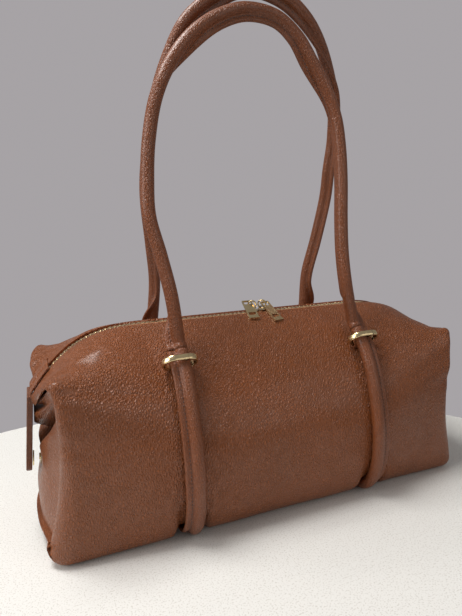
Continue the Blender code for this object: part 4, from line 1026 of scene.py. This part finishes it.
def strap(name, hand):
    """A strap from the front ring down, under the bag and up to the rear ring."""
    middle, upward, _ = ring_frame(-1)
    front = [middle + upward * (RING_TO_FOLD - FIT_GAP), middle]
    for step in STRAP_STEPS:
        front.append(beside_skin(-1, step, strap_offset(step)))
    floor = BASE_LIFT - FIT_GAP - TUBE_RADIUS
    front.append(Vector((0.0, -BELLY_DEPTH * UNDER_SHARE, floor)))
    for point in front:
        point.z = max(point.z, floor)
    rear = [Vector((0.0, -point.y, point.z)) for point in reversed(front)]
    to_strap = Vector((hand * STRAP_X, 0, 0))
    path = [point + to_strap for point in smooth_path(front + rear, SWEEP_SPACING)]
    ways = [Vector((hand, 0, 0))] * len(path)
    frames = path_frames(path, (-upward, Vector((0.0, -upward.y, upward.z))), ways)
    rolled_leather(name, frames, "body", skip=2)


def handle(name, side, loop_shares, height):
    """A handle from ring to ring.  Its flange points outwards at the rings, then to the other
    handle, and inwards over the top."""
    middle, upward, _ = ring_frame(side)
    start = middle + upward * (RING_TO_FOLD + FIT_GAP)
    bend = start + upward * LEG_BEND_LENGTH
    lean = Vector((0.0, -side * math.sin(HANDLE_LEAN), math.cos(HANDLE_LEAN)))
    points = [start + Vector((-STRAP_X, 0, 0)), bend + Vector((-STRAP_X, 0, 0))]
    for across, up in loop_shares:
        points.append(start + lean * up * height + Vector((across * HANDLE_WIDTH / 2, 0, 0)))
    points += [bend + Vector((STRAP_X, 0, 0)), start + Vector((STRAP_X, 0, 0))]
    path = smooth_path(points, SWEEP_SPACING)
    back = Vector((0.0, -side * math.cos(HANDLE_LEAN), -math.sin(HANDLE_LEAN)))
    ways = []
    for index, point in enumerate(path):
        ahead = path[min(index + 1, len(path) - 1)] - path[max(index - 1, 0)]
        outwards = ahead.normalized().cross(back).normalized() * -side
        share = (point - start).dot(lean) / height
        turn = QUARTER_TURN * (eased(share, 0.0, TURN_IN_SHARE) + eased(share, *TURN_OVER_SHARES))
        ways.append(outwards * math.cos(turn) + back * math.sin(turn))
    frames = path_frames(path, (upward, -upward), ways)
    rolled_leather(name, frames, name.replace("rolled_", ""), skip=4)


def rounded(value):
    """A sine or cosine drawn out towards a square with soft corners."""
    return math.copysign(abs(value) ** BAND_SOFTNESS, value)


def ring_band(name, side, hand):
    """A polished oval band with soft edges, round the tube and its flange."""
    middle, upward, outward = ring_frame(side)
    inner_front = TUBE_RADIUS + RING_FRONT_PLAY
    inner_back = TUBE_RADIUS + FIT_GAP + KEEPER_LEATHER + KEEPER_ROOM / 2 - RING_WALL / 2
    depth = inner_front + inner_back
    straight = 2 * TUBE_RADIUS + FLANGE_WIDTH + 2 * RING_SIDE_PLAY - depth
    centre = middle + outward * (inner_front - inner_back) / 2
    centre += Vector((hand * (STRAP_X + FLANGE_WIDTH / 2), 0, 0))
    radius = (depth + RING_WALL) / 2
    arc = math.pi * radius

    def place(u, v):
        distance = u * 2 * (straight + arc)
        turned = -1.0 if distance >= straight + arc else 1.0
        distance %= straight + arc
        if distance < straight:
            along, out, ways = distance - straight / 2, -radius, (0.0, -1.0)
        else:
            angle = (distance - straight) / radius - QUARTER_TURN
            ways = (math.cos(angle), math.sin(angle))
            along, out = straight / 2 + radius * ways[0], radius * ways[1]
        wall = RING_WALL / 2 * rounded(math.cos(2 * math.pi * v))
        rise = RING_BAND / 2 * rounded(math.sin(2 * math.pi * v))
        x, y = turned * (along + ways[0] * wall), turned * (out + ways[1] * wall)
        return centre + Vector((x, 0, 0)) + outward * y + upward * rise
    shape = shaped_grid(columns=96, rows=20, place=place, closed=True)
    bmesh.ops.recalc_face_normals(shape, faces=shape.faces)
    node = name.replace("_band", "")
    finished(name, shape, GOLD, body=node, replaces=[node])


def paint_solids():
    """The rigid pieces that keep their own solids get their finish, by a word in their name."""
    for words, material in (("base_board", BOARD), ("ring slider pull snap zip_stop", GOLD),
                            ("_keeper", HANDLE_LEATHER), ("_tab", SMOOTH_LEATHER)):
        for name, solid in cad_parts.items():
            if any(word in name for word in words.split()):
                solid.data.materials.clear()
                solid.data.materials.append(material)


# Table, light and camera
def table_and_light():
    """A pale round table, a soft window on the left, and a grey-violet surround."""
    shape = bmesh.new()
    bmesh.ops.create_circle(shape, segments=128, radius=TABLE_RADIUS, cap_ends=True)
    extruded(shape, shape.faces[:], (0, 0, -TABLE_THICKNESS))
    bmesh.ops.translate(shape, verts=shape.verts, vec=TABLE_PLACE)
    bmesh.ops.recalc_face_normals(shape, faces=shape.faces)
    mesh = bpy.data.meshes.new("table")
    shape.to_mesh(mesh)
    shape.free()
    finish = Finish("table_top", Roughness=0.45)
    place = finish.coordinates()
    specks = finish.noise(place, 900.0, 2.0).clamped(0.36, 0.46)
    clouds = finish.noise(place, 12.0, 2.0)
    colour = finish.mix(specks, (0.62, 0.60, 0.56), (0.80, 0.79, 0.76))
    colour = finish.mix(clouds * 0.2, colour, (0.74, 0.73, 0.70))
    finish.feed(Base_Color=colour)
    mesh.materials.append(finish.material)
    table = bpy.data.objects.new("table", mesh)
    bpy.context.scene.collection.objects.link(table)

    def window(name, place, target, size, power, tint):
        light = bpy.data.lights.new(name, "AREA")
        light.shape = "RECTANGLE"
        light.size, light.size_y = size
        light.energy = power
        light.color = tint
        lamp = bpy.data.objects.new(name, light)
        lamp.location = place
        lamp.rotation_euler = (Vector(target) - Vector(place)).to_track_quat("-Z", "Y").to_euler()
        bpy.context.scene.collection.objects.link(lamp)

    window("overhead window", place=(-0.42, 0.10, 1.25), target=(-0.03, 0.0, 0.08),
           size=(0.60, 0.45), power=14.0, tint=(1.0, 0.99, 0.965))
    window("side window", place=(-1.35, -0.10, 0.75), target=(0, 0, 0.08),
           size=(0.8, 0.9), power=10.0, tint=(1.0, 0.985, 0.965))
    window("room", place=(0.75, -1.4, 0.8), target=(0, 0, 0.1),
           size=(1.2, 1.0), power=3.6, tint=(1.0, 0.95, 0.90))
    world = bpy.data.worlds.new("surround")
    bpy.context.scene.world = world
    world.use_nodes = True
    tree = world.node_tree
    background = tree.nodes["Background"]
    seen = tree.nodes.new("ShaderNodeLightPath")
    mix = tree.nodes.new("ShaderNodeMix")
    mix.data_type = "RGBA"
    mix.inputs[MIX_LOW].default_value = (0.24, 0.235, 0.235, 1.0)
    mix.inputs[MIX_HIGH].default_value = (0.385, 0.365, 0.378, 1.0)
    tree.links.new(seen.outputs["Is Camera Ray"], mix.inputs["Factor"])
    tree.links.new(mix.outputs[MIX_RESULT], background.inputs["Color"])
    background.inputs["Strength"].default_value = 1.0


def photograph_camera():
    """The camera fitted to the photograph: its yaw from +Y, its pitch down and its roll."""
    yaw, pitch, roll = (math.radians(angle) for angle in CAMERA_TURNS)
    ahead = Vector((math.sin(yaw) * math.cos(pitch), math.cos(yaw) * math.cos(pitch),
                    -math.sin(pitch)))
    right = ahead.cross(Vector((0, 0, 1))).normalized()
    up = right.cross(ahead)
    turned_right = right * math.cos(roll) + up * math.sin(roll)
    turned_up = up * math.cos(roll) - right * math.sin(roll)
    data = bpy.data.cameras.new("camera")
    data.sensor_fit = "VERTICAL"
    data.sensor_height = SENSOR_HEIGHT
    data.lens = FOCAL_PIXELS * SENSOR_HEIGHT / PICTURE_PIXELS
    data.clip_start = 0.01
    camera = bpy.data.objects.new("camera", data)
    matrix = Matrix((turned_right, turned_up, -ahead)).transposed().to_4x4()
    matrix.translation = Vector(CAMERA_PLACE)
    camera.matrix_world = matrix
    bpy.context.scene.collection.objects.link(camera)
    bpy.context.scene.camera = camera


photograph_camera()
table_and_light()
bpy.context.scene.view_settings.view_transform = "Standard"
body_panel("front_leather", -1)
body_panel("rear_leather", 1)
base_leather()
end_leather("left_end_leather", -1)
end_leather("right_end_leather", 1)
lining_pieces()
zip_tape("front_cloth", -1)
zip_tape("rear_cloth", 1)
zip_teeth("front_teeth", -1)
zip_teeth("rear_teeth", 1)
zip_cover("left_zip_patch", -1)
zip_cover("right_zip_patch", 1)
strap("rolled_left_strap", -1)
strap("rolled_right_strap", 1)
handle("rolled_front_handle", -1, FRONT_LOOP_SHARES, FRONT_LOOP_HEIGHT)
handle("rolled_rear_handle", 1, REAR_LOOP_SHARES, REAR_LOOP_HEIGHT)
for end_name, end_side in (("front", -1), ("rear", 1)):
    for hand_name, hand_side in (("left", -1), ("right", 1)):
        ring_band(end_name + "_" + hand_name + "_ring_band", end_side, hand_side)
paint_solids()
